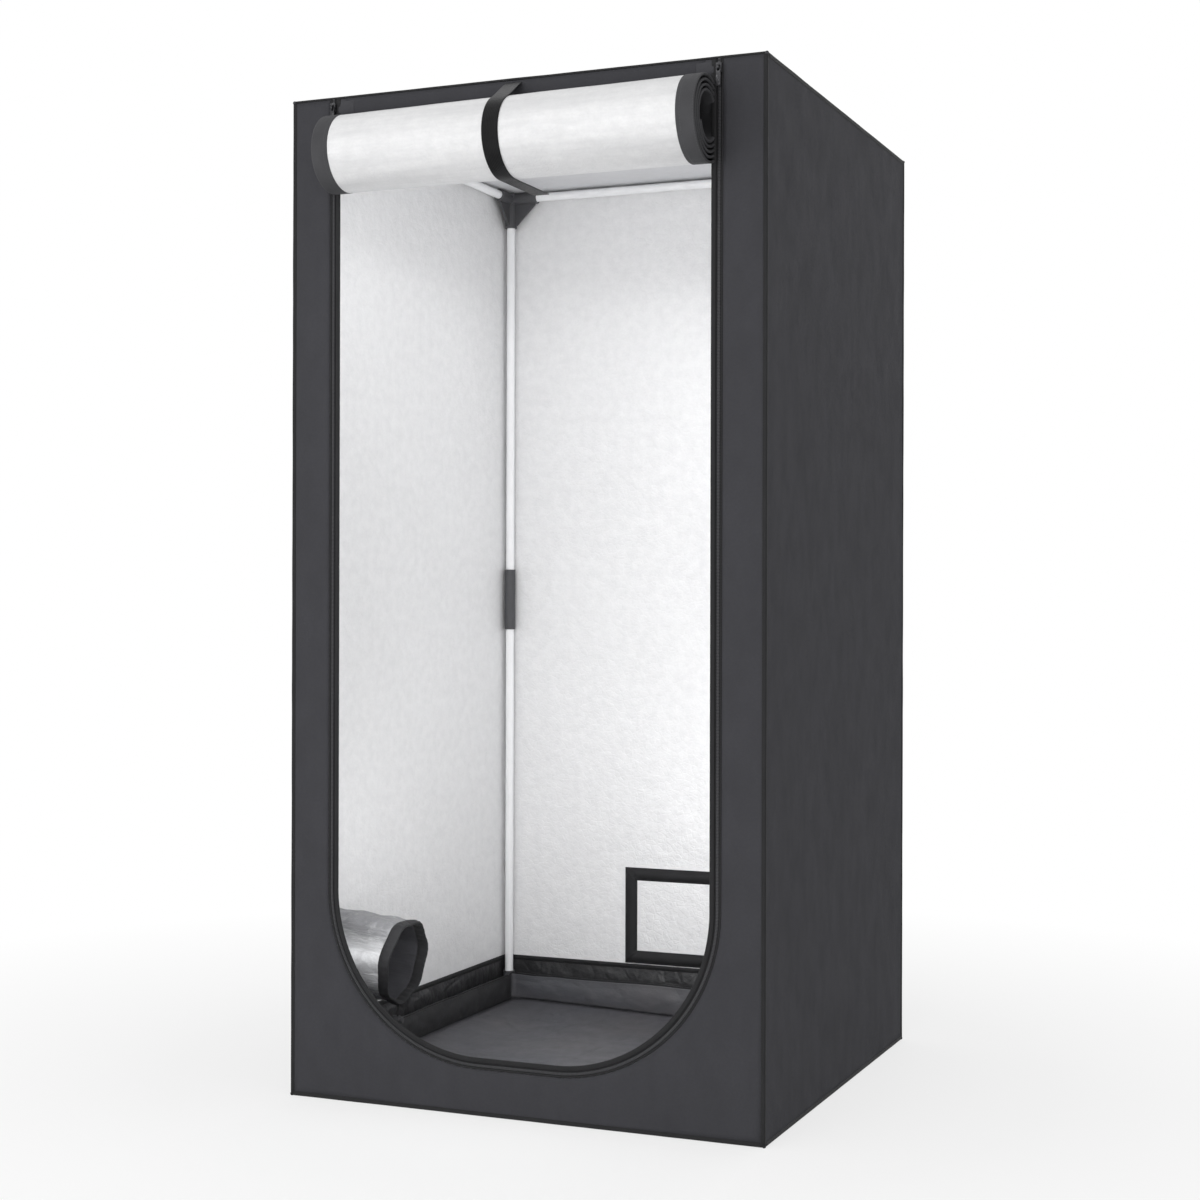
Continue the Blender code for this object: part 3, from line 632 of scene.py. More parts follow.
def ball(centre, radius, rings=6, sides=12):
    places = [centre + Vector((0, 0, radius))]
    for ring in range(1, rings):
        turn = math.pi * ring / rings
        level = radius * math.cos(turn)
        places += [centre + Vector((x, y, level)) for x, y in circle(sides, radius * math.sin(turn))]
    places.append(centre - Vector((0, 0, radius)))
    faces = [(0, 1 + side, 1 + (side + 1) % sides) for side in range(sides)]
    faces += [(a + 1, d + 1, c + 1, b + 1) for a, b, c, d in gridFaces(rings - 1, sides, True)]
    last = len(places) - 1
    start = last - sides
    faces += [(last, start + (side + 1) % sides, start + side) for side in range(sides)]
    return places, faces, [(place.x, place.y, place.z) for place in places]


def linePoints(start, end, step):
    count = max(2, round((end - start).length / step) + 1)
    return [start.lerp(end, index / (count - 1)) for index in range(count)]


# the tent's own planes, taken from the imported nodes
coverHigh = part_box("roof_panel")[1]
sideX, sideY, topZ = coverHigh
wallLow, wallHigh = (corner.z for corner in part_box("wall_right"))
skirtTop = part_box("floor_tub")[1].z
flapLow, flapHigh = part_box("vent_flap")
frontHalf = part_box("front_panel")[1].x


# drawstring ends and their knots
drawstring = {
    "top": (-0.27090, -0.28020, 0.13520),
    "thick": 0.0025,
    "steps": 3,
    "route": (
        (0.0000, 0.0020, 0.0002),
        (0.0000, 0.0020, -0.0120),
        (0.0000, 0.0020, -0.0260),
        (0.0005, 0.0026, -0.0400),
        (0.0008, 0.0042, -0.0540),
        (0.0006, 0.0054, -0.0680),
    ),
    "knot": 0.0024,
    "knotSteps": 48,
    "knotThin": 0.42,  # the knot's cord is pulled this much thinner, as a share of thick
}


def smoothRoute(route, steps):
    points = [Vector(point) for point in route]
    points = [2 * points[0] - points[1], *points, 2 * points[-1] - points[-2]]
    curve = []
    for before, start, end, after in zip(points, points[1:], points[2:], points[3:]):
        leaving = (end - before) / 2
        arriving = (after - start) / 2
        for index in range(steps):
            share = index / steps
            curve.append(
                start * (1 + 2 * share) * (1 - share) ** 2 + end * share**2 * (3 - 2 * share)
                + leaving * share * (1 - share) ** 2 - arriving * share**2 * (1 - share)
            )
    return [*curve, points[-2]]


def addKnot(name, centre):
    # an overhand knot: a trefoil of the same cord, pulled tight
    path = []
    for turn in turnsOf(drawstring["knotSteps"]):
        spot = Vector((
            math.sin(turn) + 1.1 * math.sin(2 * turn),
            math.cos(turn) - 1.1 * math.cos(2 * turn),
            -1.2 * math.sin(3 * turn),
        ))
        path.append(centre + drawstring["knot"] * 0.5 * spot)
    normals = []
    for index, place in enumerate(path):
        along = alongAt(path, index, closed=True)
        out = (place - centre).normalized()
        normals.append(along.cross(out).cross(along).normalized())
    section = circle(8, drawstring["thick"] * drawstring["knotThin"])
    return addSwept(name, path, normals, section, "cord", closed=True)


def addDrawstring():
    top = Vector(drawstring["top"])
    for side, way in (("Left", -1), ("Right", 1)):
        route = smoothRoute(drawstring["route"], drawstring["steps"])
        points = [top + Vector((p.x, p.y * way, p.z)) for p in route]
        curve = bpy.data.curves.new(f"drawstring{side}", "CURVE")
        curve.dimensions = "3D"
        curve.bevel_depth = drawstring["thick"] / 2
        curve.bevel_resolution = 4
        curve.use_fill_caps = True
        spline = curve.splines.new("POLY")
        spline.points.add(len(points) - 1)
        for point, place in zip(spline.points, points):
            point.co = (*place, 1)
        curve.materials.append(finishes["cord"].material)
        item = linkNew(f"drawstring{side}", curve)
        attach(item, "tent")
        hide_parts(f"intake_string_{side.lower()}")
        knot = addKnot(f"stringKnot{side}", points[-1])
        round(runsAlong(points)[-1], 4)


addDrawstring()
print("drawstring hung")


# cover panels: an outer skin of woven cloth and a silver lining just inside it
panel = {
    "step": 0.010,
    "skin": 0.0008,
    "lining": 0.0005,
    "liningInset": 0.0016,
    "bow": 0.0022,  # how far a loose panel goes in between its seams
    "billow": (0.0016, 0.20, 0.42),
    "smallBillow": (0.0008, 0.07, 0.11),
    "pucker": 0.0011,
    "puckerReach": 0.12,
    "puckerEnd": 0.45,
    "puckerFolds": 11,
    "crinkle": 0.00032,
    "crinkleRidge": 0.05,
    "crinkleSizes": (0.022, 0.03),
    "edge": 0.09,  # width of the band over which a panel goes from taut to loose
    "skirtClear": 0.01,
    "skirtEdge": 0.10,
    "ventFade": 0.06,
    "roofTrim": 0.0024,
}

coverLayers = (
    ("Skin", 0, panel["skin"], "coverCloth", 0),
    ("Lining", panel["liningInset"], panel["lining"], "lining", panel["crinkle"]),
)


def cornerFolds(u, v, wide, high):
    # short pulled folds that fan out of each sewn corner
    total = 0.0
    reach = panel["puckerReach"]
    for seed, (cornerU, cornerV) in enumerate(((0, 0), (wide, 0), (0, high), (wide, high))):
        du, dv = abs(u - cornerU), abs(v - cornerV)
        far = math.hypot(du, dv)
        if far < panel["puckerEnd"]:
            fold = math.sin(panel["puckerFolds"] * math.atan2(dv, du) + seed)
            total += fold * far / reach * math.exp(1 - far / reach) * 0.5
    return total


def slack(u, v, wide, high, seed, upright=True):
    # how far a point of a panel lies inside its flat plane
    sides = (u, wide - u, high - v)
    if upright:
        loose = softStep(min(sides) / panel["edge"])
        loose *= softStep((v - skirtTop - panel["skirtClear"]) / panel["skirtEdge"])
    else:
        loose = softStep(min(*sides, v) / panel["edge"])
    depth = panel["bow"] * math.sin(math.pi * u / wide) * math.sin(math.pi * v / high)
    depth += rippled(panel["billow"], u, v, seed)
    depth += rippled(panel["smallBillow"], u, v, seed + 3)
    return (depth + panel["pucker"] * cornerFolds(u, v, wide, high)) * loose


wallPlans = {
    "Left": {"node": "wall_left", "across": "y", "out": Vector((-1, 0, 0)), "seed": 1.3},
    "Right": {"node": "wall_right", "across": "y", "out": Vector((1, 0, 0)), "seed": 2.7},
    "Back": {"node": "wall_back", "across": "x", "out": Vector((0, 1, 0)), "seed": 4.1},
}
port = {
    "radius": 0.0723, "sides": 64, "ring": 0.0785, "cut": 0.02,
    "ringSection": (
        (-0.0068, -0.0006), (-0.0068, 0.0002), (-0.0060, 0.0006),
        (0.0060, 0.0006), (0.0068, 0.0002), (0.0068, -0.0006),
    ),
    "rings": (("PortRingOutside", -0.0008, -1, "piping"), ("PortRingInside", 0.0026, 1, "lining")),
}
intakeCentre = Vector((-sideX, -0.28020, 0.21400))
exhaustCentre = Vector((0.19820, sideY, 1.34850))
window = {"halfX": 0.1175, "low": 0.1265, "high": 0.2610}


def addUprightPanel(side, layer, inset, thickness, finish, crinkle):
    plan = wallPlans[side]
    low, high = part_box(plan["node"])
    across, seed = plan["across"], plan["seed"]
    start = getattr(low, across)
    wide = getattr(high, across) - start
    tall = high.z - low.z
    columns, rows = (round(length / panel["step"]) + 1 for length in (wide, tall))
    face = sideX if across == "y" else sideY

    def rule(row, column):
        v = tall * row / (rows - 1)
        u = wide * column / (columns - 1)
        depth = slack(u, v, wide, tall, seed)
        if side == "Back":
            # the back wall stays flat behind the vent flap
            away = max(abs(u - wide / 2) - flapHigh.x, v - flapHigh.z, 0)
            depth *= softStep(away / panel["ventFade"])
        depth += inset + thickness / 2
        if crinkle:
            sharp = 0.6 * ridge(u, v, panel["crinkleRidge"], seed)
            depth += crinkle * (sharp + 0.4 * ripple(u, v, panel["crinkleSizes"], seed))
        place = plan["out"] * (face - depth)
        setattr(place, across, start + u)
        place.z = low.z + v
        return place, (u, v, 0)

    replaces = [] if layer == "Lining" else [plan["node"]]
    item = addCloth(f"wall{layer}{side}", rows, columns, rule, finish, thickness, replaces=replaces)
    return item, (wide, tall)


def cutPort(item, centre, axis):
    # through the wall, on both sides of it
    first = Vector((0, 0, 1))
    second = first.cross(axis)
    rim = [first * math.sin(turn) + second * math.cos(turn) for turn in turnsOf(port["sides"])]
    middles = [centre + axis * along for along in (-port["cut"], port["cut"])]
    cutHole(item, [[middle + port["radius"] * way for way in rim] for middle in middles])


def addWalls():
    for side, plan in wallPlans.items():
        for layer in coverLayers:
            item, flat = addUprightPanel(side, *layer)
            if side == "Left":
                cutPort(item, intakeCentre, Vector((1, 0, 0)))
            if side == "Back":
                cutPort(item, exhaustCentre, Vector((0, -1, 0)))
                x, low, high = window["halfX"], window["low"], window["high"]
                corners = ((-x, low), (x, low), (x, high), (-x, high))
                levels = (sideY + port["cut"], sideY - port["cut"])
                cutHole(item, [[Vector((a, y, b)) for a, b in corners] for y in levels])
            if side != "Right":
                nameCloth(item, lambda co, across=plan["across"]: (getattr(co, across), co.z, 0))


addWalls()


def addRoof():
    wide, deep = 2 * sideX, 2 * sideY
    columns, rows = (round(length / panel["step"]) + 1 for length in (wide, deep))
    for layer, inset, thickness, finish, crinkle in coverLayers:
        inside = layer == "Lining"
        trim = panel["roofTrim"] if inside else 0

        def rule(row, column):
            v = deep * row / (rows - 1)
            u = wide * column / (columns - 1)
            depth = slack(u, v, wide, deep, 6.2, upright=False) + inset + thickness / 2
            depth += crinkle * ridge(u, v, panel["crinkleRidge"], 8.0)
            x, y = (u - sideX) * (1 - trim / sideX), (v - sideY) * (1 - trim / sideY)
            return (x, y, topZ - depth), (u, v, 0)

        finish, replaces = ("roofLining", []) if inside else (finish, ["roof_panel"])
        item = addCloth(f"roof{layer}", rows, columns, rule, finish, thickness, replaces=replaces)


addRoof()

door = {
    "opening": 0.3323,  # half width at the front panel's edge
    "arcRadius": 0.2673,
    "arcHeight": 0.339,
    "step": 0.011,
    "across": 11,
    "turns": (18, 14),  # steps of the arc below and above the panel's corner
    "edge": 2.5,
    "topEdge": 0.08,
    "lowShare": 0.35,  # how loose the cloth is beside the skirt, up to lowClear above it
    "lowClear": 0.02,
    "wave": (0.0011, 0.05, 0.13),
    "cross": (0.0007, 0.10, 0.035),
    "leastArea": 0.31,  # as a share of the panel's rectangle
}


def frontPairs():
    # points on the opening with their partners on the panel's outer edge, from top left to top right
    half, radius, middle = door["opening"], door["arcRadius"], door["arcHeight"]
    centreX = half - radius
    steps = round((wallHigh - middle) / door["step"])
    heights = [wallHigh + (middle - wallHigh) * index / steps for index in range(steps)]
    pairs = [((half, z), (frontHalf, z)) for z in heights]
    # the ray from the arc's centre to the panel's lower corner
    corner = math.atan2(middle - wallLow, frontHalf - centreX)
    low, high = door["turns"]
    turns = [corner * index / low for index in range(low)]
    turns += [corner + (math.pi / 2 - corner) * index / high for index in range(high + 1)]
    for turn in turns:
        if turn < corner:
            reach = (frontHalf - centreX) / math.cos(turn)
        else:
            reach = (middle - wallLow) / math.sin(turn)
        pair = ((centreX + far * math.cos(turn), middle - far * math.sin(turn)) for far in (radius, reach))
        pairs.append(tuple(pair))
    left = [((-a, b), (-c, d)) for (a, b), (c, d) in pairs]
    across = round(2 * centreX / door["step"])
    for index in range(1, across):
        x = -centreX + 2 * centreX * index / across
        left.append(((x, middle - radius), (x, wallLow)))
    return left + pairs[::-1]


def addFrontPanel():
    pairs = frontPairs()
    columns = door["across"]
    flatArea = 0.0
    for ((a, b), (c, d)), ((e, f), (g, h)) in zip(pairs, pairs[1:]):
        flatArea += abs((g - a) * (d - f) - (c - e) * (h - b)) / 2
    for layer, inset, thickness, finish, crinkle in coverLayers:
        def rule(row, column):
            near, far = pairs[row]
            share = column / (columns - 1)
            x, z = (a + (b - a) * share for a, b in zip(near, far))
            u, v = x + frontHalf, z - wallLow
            loose = softStep(min(share, 1 - share) * door["edge"])
            loose *= softStep((wallHigh - z) / door["topEdge"])
            inner = 1 if z > skirtTop + door["lowClear"] else door["lowShare"]
            wave = rippled(door["wave"], u, v, 5.5)
            depth = loose * inner * (wave + rippled(door["cross"], u, v, 7.7))
            depth += inset + thickness / 2 + crinkle * ridge(u, v, panel["crinkleRidge"], 9.4)
            return (x, -sideY + depth, z), (u, v, 0)

        replaces = [] if layer == "Lining" else ["front_panel"]
        item = addCloth(f"front{layer}", len(pairs), columns, rule, finish, thickness, replaces=replaces)


addFrontPanel()
print("cover panels sewn")

piping = {
    "wing": 0.0056, "lift": 0.0006, "bead": 0.0025, "centre": -0.0012, "sink": -0.0002, "step": 0.012,
    # over the door's hinge it is slimmer, so that the door swings clear of it
    "hingeWing": 0.0019, "hingeBead": 0.0019, "hingeUp": -0.0003,
    "chamfer": 0.0004, "beadStart": -0.0036, "beadFrom": 110, "beadTurn": 130, "beadSteps": 8,
    "wander": (0.00025, 0.06, 1.0), "low": 0.0016, "ball": 0.0030, "ballInset": 0.0009,
}


def pipingSection(hinge=False):
    # a tape folded over the seam, with a round cord in its fold
    wing, lift, sink, centre = piping["wing"], piping["lift"], piping["sink"], piping["centre"]
    down = piping["hingeWing"] if hinge else wing
    bead = piping["hingeBead"] if hinge else piping["bead"]
    up = piping["hingeUp"] if hinge else centre
    cut = piping["chamfer"]
    points = [(-wing, sink), (-wing, lift * 0.5), (-wing + cut, lift), (piping["beadStart"], lift)]
    for index in range(piping["beadSteps"] + 1):
        turn = math.radians(piping["beadFrom"] - piping["beadTurn"] * index / piping["beadSteps"])
        points.append((centre + bead * math.cos(turn), up + bead * math.sin(turn)))
    points += [(lift, -down * 0.65), (lift, -down + cut), (lift * 0.5, -down)]
    return points + [(sink, -down), (sink, sink)]


def addPiping():
    sides = (-1, 1)
    levels = (piping["low"], topZ)
    corners = [Vector((x * sideX, y * sideY, z)) for x in sides for y in sides for z in levels]
    parts = []
    for index, start in enumerate(corners):
        for end in corners[index + 1:]:
            same = [abs(a - b) < 1e-6 for a, b in zip(start, end)]
            if sum(same) != 2:
                continue
            outs = []
            for axis in range(3):
                if same[axis]:
                    way = Vector((0, 0, 0))
                    way[axis] = 1 if start[axis] > (topZ / 2 if axis == 2 else 0) else -1
                    outs.append(way)
            first, second = outs
            section = pipingSection(hinge=first.y < 0 and second.z > 0)
            if first.cross(second).dot(end - start) > 0:
                first, second = second, first
                section = [(up, out) for out, up in reversed(section)]
            wavy = []
            for place in linePoints(start, end, piping["step"]):
                nudge = rippled(piping["wander"], (place - start).length, index, 2.2)
                wavy.append(place + first * nudge + second * nudge)
            parts.append(sweep(wavy, second, section))
    for corner in corners:
        up = 1 if corner.z < topZ else -1
        inward = Vector((-math.copysign(1, corner.x), -math.copysign(1, corner.y), up))
        parts.append(ball(corner + inward * piping["ballInset"], piping["ball"]))
    addJoined("coverPiping", parts, "piping")


addPiping()


# door zip: tape, rolled edge and coil
zipLook = {
    "centre": 0.326,
    "step": 0.008,
    "tapeHalf": 0.0060,
    "tapeFront": -0.39935,
    "tapeBack": -0.0017,
    "tapeTrim": 0.002,
    "bead": (0.0018, 0.0012),  # half width and half height
    "beadMiddle": (-0.0016, -0.0008),  # from the tape's inner edge
    "hem": (
        (-0.0062, -0.0003), (-0.0062, 0.0003), (-0.0056, 0.0006),
        (0.0006, 0.0007), (0.0012, 0.0002), (0.0012, -0.0010),
    ),
    "toothPitch": 0.0021,
    "toothAcross": 0.0042,
    "toothAlong": 0.0012,
    "toothTop": -0.40062,
    "toothSink": 0.0001,
    "toothBevel": 0.0004,
    "toothTip": 0.72,
}


def openingRoute(half, radius, step):
    # down the left side, around the low arcs and up the right side
    middle = door["arcHeight"]
    centreX = half - radius
    bottom = middle - radius
    left = linePoints(Vector((-half, 0, wallHigh)), Vector((-half, 0, middle)), step)
    count = max(8, round(radius * math.pi / 2 / step))
    for index in range(1, count):
        turn = math.pi + math.pi / 2 * index / count
        left.append(Vector((-centreX + radius * math.cos(turn), 0, middle + radius * math.sin(turn))))
    right = [Vector((-place.x, 0, place.z)) for place in left[::-1]]
    across = linePoints(Vector((-centreX, 0, bottom)), Vector((centreX, 0, bottom)), step)
    return left + across + right


def tooth(centre, along, side, outward):
    low = -sideY - zipLook["tapeFront"] - zipLook["toothSink"]
    high = -sideY - zipLook["toothTop"]
    wide, deep = zipLook["toothAcross"] / 2, zipLook["toothAlong"] / 2
    places = []
    for height, share in ((low, 1.0), (high - zipLook["toothBevel"], 1.0), (high, zipLook["toothTip"])):
        for a, b in squareCorners:
            places.append(centre + side * wide * a * share + along * deep * b * share + outward * height)
    return places, tubeFaces(3, 4), [(0, 0, 0)] * len(places)


def addZip():
    outward = Vector((0, -1, 0))
    half = zipLook["centre"]
    radius = door["arcRadius"] - (door["opening"] - half)
    path = [place + Vector((0, -sideY, 0)) for place in openingRoute(half, radius, zipLook["step"])]
    runs = runsAlong(path)
    # side > 0 is toward the middle of the opening on the left stile
    wide = zipLook["tapeHalf"]
    front, back, inner = -sideY - zipLook["tapeFront"], zipLook["tapeBack"], wide - zipLook["tapeTrim"]
    tape = [(-wide, back), (-wide, front), (inner, front), (inner, back)]
    item = addSwept("zipTape", path, outward, tape, "blackCloth", replaces=["zip_tape"])
    # the rolled edge that the coil closes against
    across, height = zipLook["beadMiddle"]
    bead = circle(10, *zipLook["bead"], (wide + across, height))
    addSwept("zipRolledEdge", path, outward, bead, "piping")
    # the folded hem of the front panel beside the tape
    hem = [(across - wide, height) for across, height in zipLook["hem"]]
    addSwept("doorOpeningHem", path, outward, hem, "piping")
    parts = []
    spot = 0.0
    for first, second, run, after in zip(path, path[1:], runs, runs[1:]):
        along = (second - first).normalized()
        while spot < after:
            parts.append(tooth(first + along * (spot - run), along, along.cross(outward), outward))
            spot += zipLook["toothPitch"]
    addJoined("zipCoil", parts, "plastic")


addZip()
print("zip set")


# rolled door
roll = {
    "centreY": -0.42490,
    "centreZ": 1.50751,
    "radius": 0.068,
    "pitch": 0.0075,
    "turns": 4.6,
    "taper": 0.062,  # how much thinner the roll is at its left end
    "raise": (-0.0005, 0.0015),  # how far the cloth pulls it up at its right and left ends
    "steps": 44,
    "slope": 51.5,
    "headerY": -0.399,
    "headerLow": 1.5738,
    "bendFrom": 0.10,
    "bendStart": 0.75,
    "half": 0.3187,
    "bandWide": 0.029,
    "bandThick": 0.0019,
    "skin": 0.0009,
    "lift": 0.00052,
    "columns": 57,
    "settle": 0.05,  # length over which the taper sets in
    "wave": (0.0008, 0.22, 0.045),
    "pucker": (0.0005, 0.055, 0.028),
    "waveFrom": 0.06,  # where along the cloth its folds set in
    "waveSets": 0.12,
    "heldHalf": 0.010,  # the folds are flat under the strap and at the bands
    "heldReach": 0.05,
    "heldShare": 0.25,
}
band = {
    "lipExtra": 0.0002, "lipSteps": 6, "shoulder": 0.0060, "chamfer": (0.0006, 0.0004),
    "thinShare": 0.35, "thinLength": 0.015, "wobble": (0.00025, 0.02, 1), "wobbleFrom": 0.08,
    "fadeFrom": 0.028, "fadeLength": 0.012,
}


def rollPlace(turned, outward=0.0):
    turn = math.radians(roll["slope"]) - turned
    radius = roll["radius"] - roll["pitch"] * turned / math.tau + outward
    return Vector((roll["centreY"] + radius * math.cos(turn), roll["centreZ"] + radius * math.sin(turn)))


def doorRoute():
    y, low = roll["headerY"], roll["headerLow"]
    path = [Vector((y, wallHigh - (wallHigh - low) * k / 3)) for k in range(3)]
    # rounds the sharp turn where the header leaves the wall
    end = rollPlace(0)
    bend = Vector((y, low))
    start = Vector((y, wallHigh - (wallHigh - low) * roll["bendStart"]))
    for index in range(5):
        share = roll["bendFrom"] + (1 - roll["bendFrom"]) * index / 5
        path.append(start.lerp(bend, share).lerp(bend.lerp(end, share), share))
    count = round(roll["turns"] * roll["steps"])
    return path + [rollPlace(math.tau * k / roll["steps"]) for k in range(count + 1)]


def tapered(spot, x, share=1.0):
    # draws a point of the roll toward its lower back, more so toward the left end
    along = (roll["half"] - x) / (2 * roll["half"])
    scale = 1 - roll["taper"] * along * share
    rest = Vector((roll["centreY"] + roll["radius"] * 0.5, roll["centreZ"] - roll["radius"]))
    right, left = roll["raise"]
    return rest + (spot - rest) * scale + Vector((0, share * (right + (left - right) * along)))


def rollWave(run, x):
    # loose folds along the roll, flatter where the strap and the bands hold it
    fade = softStep((run - roll["waveFrom"]) / roll["waveSets"])
    held = softStep((abs(x) - roll["heldHalf"]) / roll["heldReach"])
    held *= softStep((roll["half"] - abs(x)) / roll["heldReach"])
    wave = rippled(roll["wave"], x, run, 3.3)
    wave += rippled(roll["pucker"], x, run, 6.1)
    return fade * (roll["heldShare"] + (1 - roll["heldShare"]) * held) * wave


doorPath = doorRoute()
doorRuns = runsAlong(doorPath)
doorOut = []
for doorIndex in range(len(doorPath)):
    doorAlong = alongAt(doorPath, doorIndex)
    doorOut.append(Vector((-doorAlong.y, doorAlong.x)).normalized())


def doorSpot(row, x, outward):
    # a point of the rolled cloth, this far out from its middle layer
    spot = tapered(doorPath[row] + doorOut[row] * outward, x, softStep(doorRuns[row] / roll["settle"]))
    return x, spot.x, spot.y


def addDoorSheets():
    half = roll["half"] - roll["bandWide"] * 0.5
    columns = roll["columns"]
    for name, offset, finish, replaces in (
        ("doorLining", roll["lift"], "doorLining", ["door_roll"]),
        ("doorCloth", -roll["lift"], "coverCloth", []),
    ):
        def rule(row, column):
            run = doorRuns[row]
            x = -half + 2 * half * column / (columns - 1)
            return doorSpot(row, x, offset + rollWave(run, x)), (x + half, run, 0)

        item = addCloth(name, len(doorPath), columns, rule, finish, roll["skin"], "door", replaces)


addDoorSheets()


def addDoorBands():
    wide, thick = roll["bandWide"], roll["bandThick"]
    cutX, cutZ = band["chamfer"]
    lip = thick + band["lipExtra"]
    for side, way in (("Left", -1), ("Right", 1)):
        # a tape folded over the raw edge, with a rounded outer lip and a flat inner one
        outer, inner = way * roll["half"], way * (roll["half"] - wide)
        shoulder = outer - way * band["shoulder"]
        ring = []
        for index in range(band["lipSteps"] + 1):
            turn = math.pi / 2 - math.pi * index / band["lipSteps"]
            ring.append((outer - way * lip + way * lip * math.cos(turn), lip * math.sin(turn)))
        ring += [(shoulder, -thick), (inner + way * cutX, -thick), (inner, -thick + cutZ)]
        ring += [(inner, thick - cutZ), (inner + way * cutX, thick), (shoulder, thick)]

        def rule(row, column):
            run = doorRuns[row]
            x, height = ring[column]
            # thin at the hinge, where it is sewn under the piping
            full = band["thinShare"] + (1 - band["thinShare"]) * softStep(run / band["thinLength"])
            wobble = rippled(band["wobble"], run, way, 1.1) * (run > band["wobbleFrom"])
            turned = 1 - softStep((run - band["fadeFrom"]) / band["fadeLength"])
            spot = doorSpot(row, x, height * full + rollWave(run, x) + wobble)
            return spot, (run, abs(outer - x), turned)

        faces = tubeFaces(len(doorPath), len(ring))
        if way < 0:
            faces = [face[::-1] for face in faces]
        item = addRuled(
            f"doorBand{side}", len(doorPath), len(ring), rule, faces, "doorTape", "door",
            [f"door_edge_{side.lower()}"],
        )


addDoorBands()

strap = {
    "wide": 0.027, "thick": 0.0015, "lead": 0.004, "tail": 0.102, "steps": 40, "trials": 6, "gap": 0.0003,
    "shift": -0.008,  # how far it has slid from the middle
    # its painted highlight runs out from fadeFrom over fadeLength
    "clear": 0.001, "edges": (0.0008, 0.0030), "fadeFrom": 0.040, "fadeLength": 0.055,
}


def strapRoute():
    outward = strap["clear"] + strap["gap"] + strap["thick"] / 2
    start = Vector((-sideY - strap["gap"] - strap["thick"] / 2, wallHigh - strap["lead"]))
    offset = start - Vector((roll["centreY"], roll["centreZ"]))
    slope = math.radians(roll["slope"])
    # where the straight lead touches the roll
    touch = math.pi
    for _ in range(strap["trials"]):
        radius = roll["radius"] - roll["pitch"] * (slope - touch + math.tau) / math.tau + outward
        touch = offset.angle_signed(Vector((1, 0))) + math.acos(radius / offset.length)
    path = [start.lerp(rollPlace(slope - touch + math.tau, outward), k / 5) for k in range(5)]
    for index in range(strap["steps"] + 1):
        turn = touch + (3 * math.pi / 2 - touch) * index / strap["steps"]
        path.append(rollPlace(slope - turn + math.tau, outward))
    path = [tapered(spot, 0, softStep(index / 5)) for index, spot in enumerate(path)]
    last = path[-1]
    end = Vector((-sideY + strap["tail"], last.y))
    return path + [last.lerp(end, k / 9) for k in range(1, 10)]


def addStrap():
    path = [Vector((0, place.x, place.y)) for place in strapRoute()]
    runs = runsAlong(path)
    wide, thick = strap["wide"] / 2, strap["thick"] / 2
    bevel, rib = (wide - edge for edge in strap["edges"])
    section = [
        (-wide, -thick * 0.5), (-wide, thick * 0.5), (-bevel, thick), (-rib, thick * 0.75),
        (0, thick * 0.8), (rib, thick * 0.75), (bevel, thick), (wide, thick * 0.5),
        (wide, -thick * 0.5), (bevel, -thick), (-bevel, -thick),
    ]

    def rule(row, column):
        x, height = section[column]
        normal = Vector((1, 0, 0)).cross(alongAt(path, row).normalized())
        # painted highlight on the strap's top, near the seam
        paintedHighlight = 1 - softStep((runs[row] - strap["fadeFrom"]) / strap["fadeLength"])
        place = path[row] + Vector((x + strap["shift"], 0, 0)) - normal * height
        return place, (runs[row], x + wide, paintedHighlight)

    rows, columns = len(path), len(section)
    faces = tubeFaces(rows, columns)
    item = addRuled("doorStrap", rows, columns, rule, faces, "webbing", "door", ["door_strap"])


addStrap()
print("door rolled up")


# duct socks
sock = {
    "radius": 0.072, "length": 0.129, "droop": 0.008, "taper": 0.005, "fold": 0.0018, "folds": 7,
    "sides": 112, "rings": 34, "skin": 0.0008, "outside": -0.0005, "inside": -0.0015,
    "held": 0.012,  # length over which the crumples set in
    "crumple": 0.0026, "crumpleSizes": (0.030, 0.020), "crease": 0.0011, "creaseSizes": (0.012, 0.009),
    # painted shade over the sleeve's top and underside: where it sets in, and its share underneath
    "topShade": (0.30, 0.55), "lowShade": (-0.15, 0.5), "lowShare": 0.8,
    "rimStart": 0.1293, "rimWide": 0.018, "rimCloth": 0.002, "pleat": 0.0007, "pleats": 39,
    "pucker": (0.0009, 0.018, 0.02),
    "rim": (
        (0.0, 0.0010), (0.0025, 0.0016), (0.006, 0.0026), (0.010, 0.0028),
        (0.0135, 0.0018), (0.0165, 0.0022), (0.018, 0.0008), (0.0175, -0.0016),
        (0.013, -0.0030), (0.0075, -0.0036), (0.003, -0.0030), (0.0, -0.0024),
    ),
}
intakeTurn = Matrix(((0, 0, 1), (1, 0, 0), (0, 1, 0)))
exhaustTurn = Matrix(((1, 0, 0), (0, 0, -1), (0, 1, 0)))


def sockPlace(distance, turn, extra=0.0):
    share = distance / sock["length"]
    lean = math.atan(2 * sock["droop"] * share / sock["length"])
    drop = sock["droop"] * share**2
    fold = sock["fold"] * share**2 * math.sin(sock["folds"] * turn)
    radius = sock["radius"] - sock["taper"] * share + fold + extra
    up = radius * math.sin(turn)
    return Vector((radius * math.cos(turn), up * math.cos(lean) - drop, distance + up * math.sin(lean)))


def crumple(distance, turn, seed):
    # slack cloth: rings of soft creases, broken up around the sleeve
    x, y = math.cos(turn) * 0.07, math.sin(turn) * 0.07
    fade = softStep(distance / sock["held"]) * softStep((sock["length"] - distance) / sock["held"])
    size, along = sock["crumpleSizes"]
    spot = Vector((x / size + seed, y / size, distance / along))
    size, along = sock["creaseSizes"]
    fine = Vector((x / size, y / size + seed, distance / along))
    return fade * (sock["crumple"] * noise.noise(spot) + sock["crease"] * noise.noise(fine))


